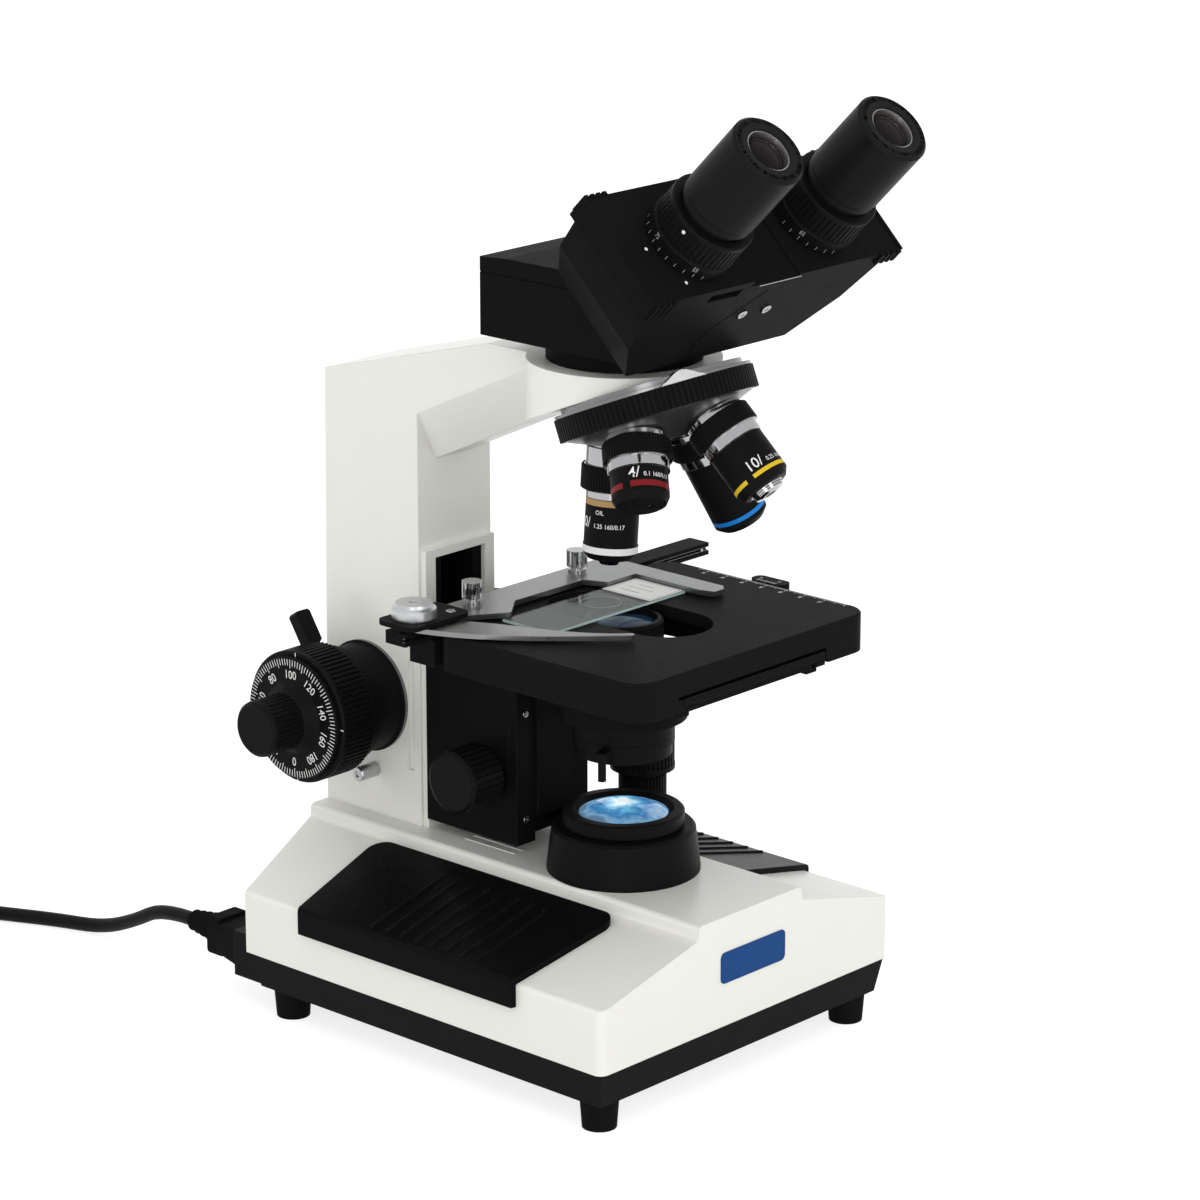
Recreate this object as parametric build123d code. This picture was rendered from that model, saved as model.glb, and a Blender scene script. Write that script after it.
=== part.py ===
"""Binocular compound microscope with a double-layer mechanical stage.

Millimetres. +X is to the user's right, -Y is towards the user, +Z is up.
The origin is on the table, below the middle of the base.
"""
from build123d import *
from math import cos, pi, radians, sin, sqrt, tan
import os

# Clearances
fit = 0.05
clear = 0.3
seat_gap = 0.15

# Feet and bottom tray
foot_height = 11.7
foot_radius = 7.6
foot_taper = 0.9
foot_inset = 12.0
tray_height = 14.6
tray_inset = 1.5
tray_draft = 2.5
tray_wall = 3.0
vent_count = 9
vent_width = 3.0
vent_length = 40.0
vent_pitch = 8.0

# Base casting
base_width = 170.0
base_front = -100.0
base_side_back = 92.7
base_tail = 111.0
tail_half = 31.0
plateau_half = 30.5
wall_height = 25.7
shoulder_rise = 13.5
plateau_lip = 5.6
base_wall = 4.0
base_edge = 2.0
corner_radius = 4.0

# Hand rests
rest_thickness = 2.4
rest_front = -63.0
rest_back = 68.0
rest_front_low = -56.0
rest_back_low = 60.0
rest_top_half = 34.0
rest_drop = 9.0
rest_corner = 7.0
rest_line_count = 8
rest_line_width = 1.1
rest_line_height = 0.7
rest_line_pitch = 8.0
rest_line_middle = -6.0
rest_line_margin = 9.0
rest_line_length = 41.0

# Field illuminator, on the optical axis
axis_y = -34.0
collar_foot_radius = 30.3
collar_top_radius = 27.8
collar_height = 18.2
collar_wall = 3.0
ring_radius = 24.0
ring_height = 6.4
ring_depth = 9.0
lens_radius = 17.5
lens_edge = 3.0
lens_dome = 4.0
lens_recess = 1.6
lamp_radius = 16.0
lamp_height = 14.0
lamp_fin_count = 5
lamp_fin_gap = 1.2

# Mains inlet and connector
inlet_x = -66.0
inlet_z = 21.6
inlet_width = 28.5
inlet_height = 19.0
inlet_depth = 27.0
inlet_proud = 6.0
plug_width = 24.0
plug_height = 15.4
plug_reach = 16.0
connector_length = 22.0
connector_collar = 6.5
relief_length = 18.0
relief_rib_count = 5
pin_width = 4.0
pin_thickness = 2.0

# Power switch and brightness dial
switch_width = 20.0
switch_height = 13.0
switch_depth = 9.0
switch_gap = 1.6
switch_z = 39.0
switch_proud = 2.2
switch_slope = 9.0
switch_pin_radius = 2.0
switch_pin_show = 2.5
dial_y = -75.0
dial_z = 37.0
dial_radius = 9.0
dial_length = 9.0
dial_shaft_radius = 3.0
dial_rib_count = 28

# Arm
arm_width = 41.0
arm_front = 57.0
arm_back = 113.0
arm_back_top = 110.0
arm_edge = 2.5
limb_root_z = 222.5
limb_back_z = 252.5
limb_slope = 0.462
bevel_width = 10.5
bevel_drop = 20.2
boss_radius = 37.5
head_seat_z = 277.0
head_seat_back = 18.0
light_bore = 8.5
frame_proud = 3.0
frame_half = 19.5
frame_top_z = 186.5
slot_half = 14.0
slot_top_z = 183.0
slot_bottom_z = 76.0
slot_back = 95.0
groove_width = 3.0
groove_depth = 1.0
groove_low_z = 94.0
groove_high_z = 140.0

# Coarse and fine focus
focus_y = 87.0
focus_z = 120.5
tooth_module = 1.0
tooth_count = 12
tooth_slim = 0.45
coarse_shaft_radius = 4.4
fine_shaft_radius = 2.6
bush_radius = 22.0
bush_length = 15.5
bush_sleeve_radius = 8.0
bush_rim = 1.0
tension_radius = 24.0
tension_width = 4.6
lever_reach = 16.5
lever_thickness = 5.0
lever_overhang = 3.0
lever_angle = 33.0
coarse_radius = 27.0
coarse_length = 19.0
coarse_rib_count = 78
coarse_rib_depth = 0.8
coarse_rim = 2.0
graduated_radius = 25.0
graduated_thickness = 2.0
fine_hub_radius = 15.5
fine_hub_length = 3.5
fine_radius = 11.4
fine_length = 20.5
fine_rib_count = 36

# Stage carriage and its guide in the arm
carriage_bottom_z = 75.4
carriage_front = 8.0
carriage_edge = 1.5
neck_half = 9.0
tongue_half = 12.4
tongue_front = 66.0
tongue_back = 72.0
tongue_bottom_z = 80.0
tongue_top_z = 150.0
rack_half = 4.5
gib_thickness = 4.0
gib_inner = 10.2
gib_screw_inset = 10.0
gib_screw_radius = 1.6
guide_back = 78.0
guide_screen_y = 90.0
guide_screen_z = 135.0

# Stage
stage_z = 175.2
stage_half = 67.0
stage_front = -102.5
stage_back = 4.0
stage_plate = 5.0
stage_skirt = 15.2
skirt_notch = 1.3
stage_forward = 14.0
stage_rearward = 22.0
stage_wall = 4.0
stage_corner = 10.0
slot_radius = 18.0
slot_front_y = -74.0
slot_back_y = 0.0
under_half = 40.0
under_plate = 4.0
under_front = -98.0
under_back = 50.0
under_hole = 33.0
way_half = 46.0
way_width = 6.0
way_height = 3.4
vernier_y = -48.0
vernier_length = 17.0
vernier_width = 7.0
vernier_rise = 0.4
strap_thickness = 1.5

# X slide with the specimen holder
guide_depth = 13.0
guide_half = 66.0
bar_front = 5.5
bar_depth = 10.4
bar_height = 5.1
bar_left = -80.0
bar_right = 95.0
bar_groove = 1.6
holder_sheet = 2.2
holder_back = 17.0
holder_left = -60.0
holder_arm_width = 10.5
holder_arm_end = -48.0
notch_left = -24.0
notch_right = 15.0
notch_depth = 9.5
slide_length = 76.0
slide_width = 26.0
slide_glass = 1.1
slide_x = -3.0
slide_y = -21.5
thumb_radius = 4.2
thumb_height = 6.5
thumb_neck = 2.5
thumb_left_x = -37.0
thumb_right_x = 22.5
thumb_y = 11.5
thumb_rib_count = 14
bracket_sheet = 1.8
finger_x = -71.0
finger_y = 9.5
finger_sheet = 2.0
pivot_radius = 8.6
pivot_height = 6.0
pivot_pin = 3.0
finger_root = 5.8

# Low coaxial stage knobs
knob_x = 50.0
knob_y = 1.0
knob_post_radius = 6.0
knob_boss_radius = 8.5
knob_boss_height = 12.0
y_knob_radius = 13.0
y_knob_top_z = 119.0
y_knob_length = 27.0
x_knob_radius = 9.8
x_knob_length = 18.0
knob_rib_count = 40

# Condenser
condenser_drop = 1.8
condenser_length = 46.4
condenser_lens_radius = 13.0
condenser_nose_radius = 15.5
condenser_body_radius = 20.0
condenser_nose_height = 12.0
carrier_radius = 25.0
carrier_height = 11.0
carrier_lift = 7.0
slide_flange_half = 13.6
slide_flange = 2.8
slide_low_z = 86.0
slide_rise = 3.0
condenser_knob_y = 16.5
condenser_knob_z = 105.0
condenser_knob_radius = 12.7
condenser_knob_length = 17.0
condenser_shaft_radius = 3.0
condenser_shaft_show = 7.5
condenser_rib_count = 30
iris_height = 3.0
iris_angle = 203.5
iris_reach = 26.0
iris_pin_radius = 1.6
iris_pin_length = 11.0
filter_radius = 19.0
filter_height = 4.5
filter_bore = 16.5
filter_post_radius = 2.5
filter_post_reach = 26.5
filter_angle = 20.0

# Revolving nosepiece
turret_y = -50.4
turret_z = 260.9
turret_tilt = 22.46
turret_turn = 13.9
turret_radius = 37.4
turret_height = 8.4
grip_radius = 39.2
grip_rib_count = 112
grip_rib_depth = 0.6
cone_inner_radius = 13.5
seat_radius = 35.6
seat_thickness = 3.3
flange_radius = 38.6
flange_height = 1.3
pivot_stud_radius = 5.0
pivot_stud_depth = 14.0
detent_width = 19.0
detent_rise = 3.6
detent_angle = -118.0
detent_steps = 14
thread_radius = 10.0
thread_length = 4.5
shoulder_reach = 58.0
objective_collar = 12.9
passage_radius = 6.5

# Binocular head
foot_ring_radius = 30.0
foot_ring_height = 6.7
spigot_radius = 20.0
spigot_depth = 4.0
head_half = 36.0
head_rear = 41.7
head_height = 32.3
head_rear_drop = 1.0
head_rear_lift = 1.2
head_seam = 0.5
head_seam_drop = 7.0
tube_incline = 45.0
tube_y = -93.4
tube_z = 332.0
tube_spacing = 72.0
plate_low = 22.0
plate_high = 26.0
plate_half = 71.0
plate_depth = 4.0
right_plate_rise = 1.9
plate_step = 2.8
plate_rim = 0.6
lap_root = 37.0
lap_end = 15.5
tongue_rise = 1.1
tongue_end = 19.2
raised_start = 12.0
grip_bar_count = 4
grip_bar_pitch = 3.2
grip_bar_width = 1.8
slab_half = 65.8
slab_waist = 60.0
slab_waist_depth = 26.0
slab_floor_half = 45.0
slab_depth = 47.0
slab_setback = 0.6
seam_width = 1.3
seam_depth = 0.9
seam_shift = 17.0
seam_bend = 27.0
beam_radius = 11.0
diopter_radius = 17.3
diopter_foot_radius = 17.6
diopter_height = 18.6
diopter_wall = 3.4
diopter_rib_count = 48
eyepiece_radius = 15.0
eyepiece_length = 54.8
eyepiece_neck_radius = 13.4
eyepiece_cup_depth = 4.0
eye_lens_radius = 8.4
eye_lens_edge = 2.0
eye_lens_dome = 1.6
clamp_radius = 5.0
clamp_length = 8.0

# Power cord: tube to the edge of the coil, then a round coil in two layers
cord_diameter = 6.0
cord_floor = 0.2
coil_x = -151.4
coil_y = 264.9
coil_radius = 37.3
coil_pitch = 7.6
coil_layer = 6.5
coil_quarters = 30
coil_start = 30.0
coil_lead = 22.0
route_tail = [
    (-66.0, 164.0, 21.6),
    (-65.4, 182.0, 11.4),
    (-66.0, 202.0, 3.4),
    (-73.0, 224.0, 3.2),
    (-84.0, 247.0, 3.2),
]
mains_plug_length = 26.0
mains_plug_radius = 9.4
mains_plug_lead = 16.0
mains_blade_length = 16.0
mains_blade_gap = 12.0

# Heights and places that follow from the sizes above
tray_z = foot_height
base_floor = tray_z + tray_height
wall_top = base_floor + wall_height
shoulder = wall_top + shoulder_rise
plateau = shoulder + plateau_lip
half_base = base_width / 2
switch_pivot_y = base_tail - base_wall - switch_pin_radius - clear
half_arm = arm_width / 2
collar_top = plateau + collar_height
ring_top = collar_top + ring_height
frame_face = arm_front - frame_proud
carriage_back = frame_face - clear
carriage_top = stage_z - stage_skirt + skirt_notch - under_plate
under_z = carriage_top
under_top = under_z + under_plate
bar_z = stage_z - 4.4
bar_top = bar_z + bar_height
holder_z = bar_top + 0.1
holder_top = holder_z + holder_sheet
bush_face = half_arm + bush_length
tension_face = bush_face + clear + tension_width
coarse_inner = tension_face + clear
coarse_face = coarse_inner + coarse_length
dial_inner = coarse_face + clear
fine_inner = dial_inner + graduated_thickness
fine_end = fine_inner + fine_length
condenser_top_z = stage_z - condenser_drop
condenser_bottom_z = condenser_top_z - condenser_length
carrier_z = condenser_bottom_z + carrier_lift
slide_high_z = carrier_z + carrier_height + slide_rise
pitch_radius = tooth_module * tooth_count / 2
rack_line = focus_y - pitch_radius
tilt = radians(turret_tilt)
apex_z = turret_z + (axis_y - turret_y) / tan(tilt)
head_z = head_seat_z + foot_ring_height
head_top = head_z + head_height
mouth_y = base_side_back + inlet_proud + 6.4
relief_end_y = mouth_y + connector_length + relief_length
cord_radius = cord_diameter / 2

turret_frame = Plane(
    origin=(0, turret_y, turret_z), x_dir=(1, 0, 0), z_dir=(0, sin(tilt), cos(tilt))
)
turret_apex = Plane(
    origin=(0, axis_y, apex_z), x_dir=(1, 0, 0), z_dir=(0, sin(tilt), cos(tilt))
)
incline = radians(tube_incline)
head_frame = Plane(
    origin=(0, tube_y, tube_z), x_dir=(1, 0, 0), z_dir=(0, -cos(incline), sin(incline))
)


def block(x0, x1, y0, y1, z0, z1):
    """Rectangular solid between two corners."""
    middle = Pos((x0 + x1) / 2, (y0 + y1) / 2, (z0 + z1) / 2)
    return middle * Box(x1 - x0, y1 - y0, z1 - z0)


def disc(radius, z0, z1, x=0, y=0):
    """Upright cylinder between two heights."""
    return Pos(x, y, (z0 + z1) / 2) * Cylinder(radius, z1 - z0)


def rod_x(radius, x0, x1, y, z):
    """Cylinder along X."""
    return Pos((x0 + x1) / 2, y, z) * Rot(0, 90, 0) * Cylinder(radius, x1 - x0)


def rod_y(radius, y0, y1, x, z):
    """Cylinder along Y."""
    return Pos(x, (y0 + y1) / 2, z) * Rot(90, 0, 0) * Cylinder(radius, y1 - y0)


def along_x(points, x0, x1):
    """Prism of a (y, z) outline."""
    return extrude(Plane.YZ.offset(x0) * make_face(Polyline(*points, close=True)), x1 - x0)


def along_y(points, y0, y1):
    """Prism of an (x, z) outline."""
    return extrude(Plane.XZ.offset(-y1) * make_face(Polyline(*points, close=True)), y1 - y0)


def along_z(points, z0, z1):
    """Prism of an (x, y) outline."""
    return extrude(Plane.XY.offset(z0) * make_face(Polyline(*points, close=True)), z1 - z0)


def turned(points):
    """Solid of revolution about Z of an (r, z) outline."""
    return revolve(Plane.XZ * make_face(Polyline(*points, close=True)), Axis.Z)


def tube(outer, inner, z0, z1):
    """Upright ring."""
    return disc(outer, z0, z1) - disc(inner, z0, z1)


def ribbed(radius, depth, count, length):
    """Cylinder along Z whose rim has straight ribs."""
    points = []
    step = 2 * pi / count
    for rib in range(count):
        for share, reach in ((0.0, radius), (0.45, radius), (0.6, radius - depth), (0.85, radius - depth)):
            angle = step * (rib + share)
            points.append((reach * cos(angle), reach * sin(angle)))
    return along_z(points, 0, length)


def rounded_plate(x0, x1, y0, y1, z0, z1, radius):
    """Plate with round corners in plan."""
    outline = Pos((x0 + x1) / 2, (y0 + y1) / 2, z0) * RectangleRounded(x1 - x0, y1 - y0, radius)
    return extrude(outline, z1 - z0)


def mirrored(solid):
    """The same solid on the other side of the middle plane."""
    return mirror(solid, Plane.YZ)


def joined(*solids):
    """One group of separate solids."""
    return Compound(children=[part for solid in solids for part in solid.solids()])


def base_plan(inset):
    """Plan of the base, whose rear corners are set forward of its tail."""
    half = half_base - inset
    side = base_side_back - inset
    tail = base_tail - inset
    front = base_front + inset
    return [
        (-half, front), (half, front), (half, side), (tail_half, tail), (-tail_half, tail), (-half, side),
    ]


def base_block(inset, floor):
    """Wedge-sided base: upright walls, sloping shoulders and a raised plateau."""
    half = half_base - inset
    lip = plateau_half - inset
    section = [
        (-half, floor), (half, floor), (half, wall_top - inset), (lip, shoulder - inset),
        (lip, plateau - inset), (-lip, plateau - inset), (-lip, shoulder - inset),
        (-half, wall_top - inset),
    ]
    body = along_y(section, base_front + inset, base_tail - inset)
    return body & along_z(base_plan(inset), floor, plateau)


def inlet_cut():
    """Room for the mains inlet in the rear wall."""
    width = inlet_width / 2 + seat_gap
    height = inlet_height / 2 + seat_gap
    return block(
        inlet_x - width, inlet_x + width, mouth_y - inlet_depth - 1, base_tail + 10,
        inlet_z - height, inlet_z + height,
    )


def base_casting():
    """White cast base, open below."""
    outer = base_block(0, base_floor)
    long_edges = outer.edges().filter_by(Axis.Y).filter_by_position(Axis.Z, wall_top - 1, plateau + 1)
    outer = fillet(long_edges, base_edge)
    plan = make_face(Polyline(*base_plan(0), close=True))
    plan = fillet(plan.vertices().group_by(Axis.Y)[0], corner_radius)
    outer &= extrude(Plane.XY.offset(base_floor) * plan, plateau - base_floor)
    body = outer - base_block(base_wall, base_floor - 1)
    body -= disc(lamp_radius + 1, shoulder - base_wall, plateau + 1, 0, axis_y)
    body -= inlet_cut()
    width = switch_width / 2
    height = switch_height / 2
    body -= block(
        -width, width, base_tail - base_wall - 1, base_tail + 1, switch_z - height, switch_z + height,
    )
    body -= rod_x(dial_shaft_radius + fit, half_base - base_wall - 1, half_base + 1, dial_y, dial_z)
    return body


def bottom_tray():
    """Black sheet tray that closes the base and carries the feet."""
    top = make_face(Polyline(*base_plan(tray_inset), close=True))
    bottom = make_face(Polyline(*base_plan(tray_inset + tray_draft), close=True))
    body = loft([Pos(0, 0, tray_z) * bottom, Pos(0, 0, base_floor) * top], ruled=True)
    inner = base_plan(tray_inset + tray_draft + tray_wall)
    body -= along_z(inner, tray_z + tray_wall, base_floor + 1)
    first = -(vent_count - 1) / 2 * vent_pitch
    for slot in range(vent_count):
        x = first + slot * vent_pitch
        body -= block(
            x - vent_width / 2, x + vent_width / 2, axis_y - vent_length / 2, axis_y + vent_length / 2,
            tray_z - 1, tray_z + tray_wall + 1,
        )
    return body - inlet_cut()


def rubber_feet():
    """Four tapered rubber feet."""
    foot = turned([(0, 0), (foot_radius - foot_taper, 0), (foot_radius, foot_height), (0, foot_height)])
    x = half_base - foot_inset
    front = base_front + foot_inset
    back = base_side_back - foot_inset - 2
    places = [(-x, front), (x, front), (-x, back), (x, back)]
    return joined(*[Pos(px, py, 0) * foot for px, py in places])


def hand_rest():
    """Left hand rest: a pad over the shoulder, folded down the side wall, with raised lines."""
    slope = shoulder_rise / (half_base - plateau_half)
    lean = sqrt(1 + slope * slope)
    lift = rest_thickness * lean

    def surface(x):
        return wall_top + slope * (half_base + x)

    outer_x = -half_base - rest_thickness
    section = [
        (-rest_top_half, surface(-rest_top_half)),
        (-half_base, wall_top),
        (-half_base, wall_top - rest_drop),
        (outer_x, wall_top - rest_drop),
        (outer_x, surface(outer_x) + lift),
        (-rest_top_half, surface(-rest_top_half) + lift),
    ]
    pad = along_y(section, rest_front, rest_back)
    plan = make_face(Polyline(
        (-rest_top_half, rest_front), (-rest_top_half, rest_back), (outer_x, rest_back_low),
        (outer_x, rest_front_low), close=True))
    plan = fillet(plan.vertices().group_by(Axis.X)[-1], rest_corner)
    low_z = wall_top - rest_drop
    pad &= extrude(Plane.XY.offset(low_z - 1) * plan, shoulder + 3 * rest_thickness - low_z)
    fold = pad.edges().filter_by(Axis.Y).filter_by_position(Axis.X, outer_x - 0.1, outer_x + 0.1)
    pad = fillet(fold.sort_by(Axis.Z)[-1:], rest_thickness * 0.9)
    x0 = -rest_top_half - rest_line_margin
    x1 = x0 - rest_line_length
    line = [
        (x0, surface(x0) + lift / 2), (x0, surface(x0) + lift + rest_line_height),
        (x1, surface(x1) + lift + rest_line_height), (x1, surface(x1) + lift / 2),
    ]
    first = rest_line_middle - (rest_line_count - 1) / 2 * rest_line_pitch
    for index in range(rest_line_count):
        y = first + index * rest_line_pitch
        pad += along_y(line, y - rest_line_width / 2, y + rest_line_width / 2)
    return pad


def hand_rests():
    left = hand_rest()
    return joined(left, mirrored(left))


def lamp_collar():
    """Tapered collar on the plateau, with a step for the lens ring."""
    bore = ring_radius - 1.6
    ledge = collar_top - ring_depth
    profile = [
        (collar_foot_radius, plateau), (collar_foot_radius, plateau + 1.5),
        (collar_top_radius + 0.6, collar_top - 1.2), (collar_top_radius - 0.6, collar_top),
        (bore + fit, collar_top), (bore + fit, ledge), (bore - collar_wall, ledge),
        (bore - collar_wall, plateau),
    ]
    return Pos(0, axis_y, 0) * turned(profile)


def lamp_lens_ring():
    """Flared ring that screws into the collar and holds the field lens."""
    bore = ring_radius - 1.6
    ledge = collar_top - ring_depth
    lens_seat = ring_top - lens_recess - lens_edge
    profile = [
        (bore, ledge), (bore, collar_top), (ring_radius - 0.8, collar_top), (ring_radius, collar_top + 1),
        (ring_radius, ring_top - 0.8), (ring_radius - 0.8, ring_top), (lens_radius + 2.2, ring_top),
        (lens_radius + fit, ring_top - lens_recess), (lens_radius + fit, lens_seat),
        (lens_radius - 1.5, lens_seat), (lens_radius - 1.5, ledge),
    ]
    return Pos(0, axis_y, 0) * turned(profile)


def dome(radius, edge, rise):
    """Plano-convex lens: flat below, crowned above."""
    outline = Polyline((0, edge + rise), (0, 0), (radius, 0), (radius, edge))
    crown = ThreePointArc((radius, edge), crown_point(radius, edge, rise), (0, edge + rise))
    return revolve(Plane.XZ * make_face([outline, crown]), Axis.Z)


def crown_point(radius, edge, rise):
    """Point of a spherical crown halfway out to its edge."""
    sphere = (radius * radius + rise * rise) / (2 * rise)
    x = radius / 2
    return (x, edge + rise - sphere + sqrt(sphere * sphere - x * x))


def lamp_lens():
    return Pos(0, axis_y, ring_top - lens_recess - lens_edge) * dome(lens_radius, lens_edge, lens_dome)


def led_module():
    """Lamp board on a finned sink, below the field lens."""
    top = plateau + 4
    body = disc(lamp_radius, top - lamp_height, top)
    span = lamp_height - 5
    for fin in range(lamp_fin_count):
        z = top - lamp_height + 1.2 + fin * span / lamp_fin_count
        body -= tube(lamp_radius + 1, lamp_radius - 6, z, z + lamp_fin_gap)
    rim = ring_radius - 1.6 - collar_wall
    body += disc(rim - seat_gap, top - 3, top)
    body += disc(5, top, top + 1.5)
    body += Pos(0, 0, top + 1.5) * dome(3.4, 0.5, 2.2)
    return Pos(0, axis_y, 0) * body


def mains_inlet():
    """Socket in the rear wall, with three pins."""
    width = inlet_width / 2
    height = inlet_height / 2
    back = mouth_y - inlet_depth
    body = block(inlet_x - width, inlet_x + width, back, mouth_y, inlet_z - height, inlet_z + height)
    w = plug_width / 2 + seat_gap
    h = plug_height / 2 + seat_gap
    body -= block(inlet_x - w, inlet_x + w, mouth_y - plug_reach - 1, mouth_y + 1, inlet_z - h, inlet_z + h)
    for x, z in ((-7, -2), (0, 2), (7, -2)):
        px = inlet_x + x
        pz = inlet_z + z
        body += block(
            px - pin_thickness / 2, px + pin_thickness / 2, mouth_y - plug_reach - 2, mouth_y - 4,
            pz - pin_width / 2, pz + pin_width / 2,
        )
    return body


def power_connector():
    """Moulded connector with its collar and ribbed, tapered strain relief."""
    w = plug_width / 2
    h = plug_height / 2
    front = mouth_y - plug_reach
    body = block(inlet_x - w, inlet_x + w, front, mouth_y + 0.5, inlet_z - h, inlet_z + h)
    back = mouth_y + connector_length
    shell = Plane.XZ.offset(-(mouth_y + 0.5)) * RectangleRounded(plug_width + 1, plug_height + 1, 3)
    waist = RectangleRounded(plug_width - 4, plug_height - 2, 3)
    waist = Plane.XZ.offset(-(back - connector_collar)) * waist
    body += Pos(inlet_x, 0, inlet_z) * loft([shell, waist], ruled=True)
    collar = Plane.XZ.offset(-back) * RectangleRounded(plug_width - 6, plug_height + 1, 3)
    body += Pos(inlet_x, 0, inlet_z) * extrude(collar, connector_collar)
    for x, z in ((-7, -2), (0, 2), (7, -2)):
        px = inlet_x + x
        pz = inlet_z + z
        body -= block(
            px - pin_thickness, px + pin_thickness, front - 1, mouth_y - 3,
            pz - pin_width / 2 - 0.5, pz + pin_width / 2 + 0.5,
        )
    profile = [(0, 0), (6.4, 0)]
    step = relief_length / relief_rib_count
    for rib in range(relief_rib_count):
        share = rib / relief_rib_count
        reach = 6.4 - share * (6.4 - cord_radius - 1.0)
        z = rib * step
        profile += [(reach, z + 0.6 * step), (reach - 1.0, z + 0.7 * step), (reach - 1.0, z + step)]
    profile += [(0, relief_length)]
    return body + Pos(inlet_x, back, inlet_z) * Rot(-90, 0, 0) * turned(profile)


def power_switch():
    """Rocker in the rear wall of the tail, on a pivot pin behind the wall."""
    half = switch_width / 2 - switch_gap
    height = switch_height / 2 - clear
    drop = tan(radians(switch_slope)) * half
    inner = base_tail - switch_depth
    outer = base_tail + switch_proud
    outline = [(-half, inner), (half, inner), (half, outer), (0, outer - drop), (-half, outer - drop * 0.4)]
    rocker = along_z(outline, switch_z - height, switch_z + height)
    reach = height + switch_pin_show
    return rocker + disc(switch_pin_radius, switch_z - reach, switch_z + reach, 0, switch_pivot_y)


def brightness_dial():
    """Ribbed knob on the right-hand wall, on a shaft through it."""
    knob = ribbed(dial_radius, 0.6, dial_rib_count, dial_length)
    knob = Pos(half_base + clear, dial_y, dial_z) * Rot(0, 90, 0) * knob
    shaft = rod_x(dial_shaft_radius, half_base - base_wall - 4, half_base + 2, dial_y, dial_z)
    return knob + shaft


def arm_casting():
    """White arm: column, rising limb with bevelled lower edges, and the round head seat."""
    tip_y = axis_y + boss_radius - 13
    tip_z = limb_root_z + limb_slope * (arm_front - tip_y)
    outline = [
        (arm_front, plateau), (arm_front, limb_root_z), (tip_y, tip_z), (tip_y, head_seat_z),
        (head_seat_back, head_seat_z), (arm_back_top, limb_back_z), (arm_back, plateau),
    ]
    body = along_x(outline, -half_arm, half_arm)
    body = fillet(body.edges().filter_by_position(Axis.Y, arm_back_top - 1, arm_back + 1), arm_edge)
    low = limb_root_z - 1
    wedge = Plane(origin=(0, arm_front, 0), x_dir=(1, 0, 0), z_dir=(0, -1, 0)) * make_face(Polyline(
        (-half_arm - 1, limb_root_z + bevel_drop + 2), (-half_arm, limb_root_z + bevel_drop),
        (-half_arm + bevel_width, limb_root_z), (-half_arm + bevel_width, low - 30),
        (-half_arm - 1, low - 30), close=True))
    reach = arm_front - axis_y
    cut = extrude(wedge, reach, dir=(0, -1, limb_slope))
    body = body - cut - mirrored(cut)
    boss = disc(boss_radius, head_seat_z - 40, head_seat_z, 0, axis_y)
    body += boss
    under = turret_frame.location * block(-90, 90, -90, 60, -80, seat_top())
    body -= under & block(-90, 90, -150, arm_front - 40, 150, 300)
    body -= disc(light_bore, head_seat_z - 60, head_seat_z + 1, 0, axis_y)
    body -= disc(spigot_radius + clear, head_seat_z - spigot_depth - clear, head_seat_z + 1, 0, axis_y)
    body += block(-frame_half, frame_half, frame_face, arm_front, plateau, frame_top_z)
    body -= block(-slot_half, slot_half, frame_face - 1, slot_back, slot_bottom_z, slot_top_z)
    body -= rod_x(bush_sleeve_radius, -half_arm - 1, half_arm + 1, focus_y, focus_z)
    body -= block(
        -half_arm - 1, -half_arm + groove_depth, arm_front + 4, arm_front + 4 + groove_width,
        groove_low_z, groove_high_z,
    )
    screw_z = head_seat_z - spigot_depth / 2 - clear
    return body - rod_x(2.0 + fit, spigot_radius, boss_radius + 1, axis_y, screw_z)


def seat_top():
    """Height of the nosepiece seat's upper face along the turret's own axis."""
    return turret_height / 2 + clear + seat_thickness


def focus_guide():
    """Black T-slot guide that lines the arm's slot, with a screen above the pinion."""
    low = slot_bottom_z
    high = slot_top_z
    neck = neck_half + seat_gap
    wide = tongue_half + seat_gap
    front = frame_face + 2
    rail = [
        (slot_half, front), (slot_half, guide_back), (neck, guide_back), (neck, tongue_back + seat_gap),
        (wide, tongue_back + seat_gap), (wide, tongue_front - seat_gap), (neck, tongue_front - seat_gap),
        (neck, front),
    ]
    right = along_z(rail, low, high)
    screen = block(-slot_half, slot_half, guide_screen_y, slot_back, guide_screen_z, high)
    side = block(neck + 2, slot_half, guide_back - 1, guide_screen_y + 1, guide_screen_z, high)
    return right + mirrored(right) + screen + side + mirrored(side)


def rack_teeth():
    """Straight rack teeth on the back of the carriage's tongue."""
    pitch = pi * tooth_module
    tip = rack_line + tooth_module
    root = rack_line - 1.25 * tooth_module
    lean = tan(radians(20)) * 1.125 * tooth_module
    thick = pitch / 4 - tooth_slim / 2
    count = int((tongue_top_z - tongue_bottom_z) / pitch) - 1
    low = focus_z - pitch * int((focus_z - tongue_bottom_z - pitch) / pitch)
    points = [(root - 2, tongue_bottom_z), (root, tongue_bottom_z)]
    for tooth in range(count):
        z = low + tooth * pitch
        points += [
            (root, z - thick - lean), (tip, z - thick + lean), (tip, z + thick - lean),
            (root, z + thick + lean),
        ]
    points += [(root, tongue_top_z), (root - 2, tongue_top_z)]
    return along_x(points, -rack_half, rack_half)


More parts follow.
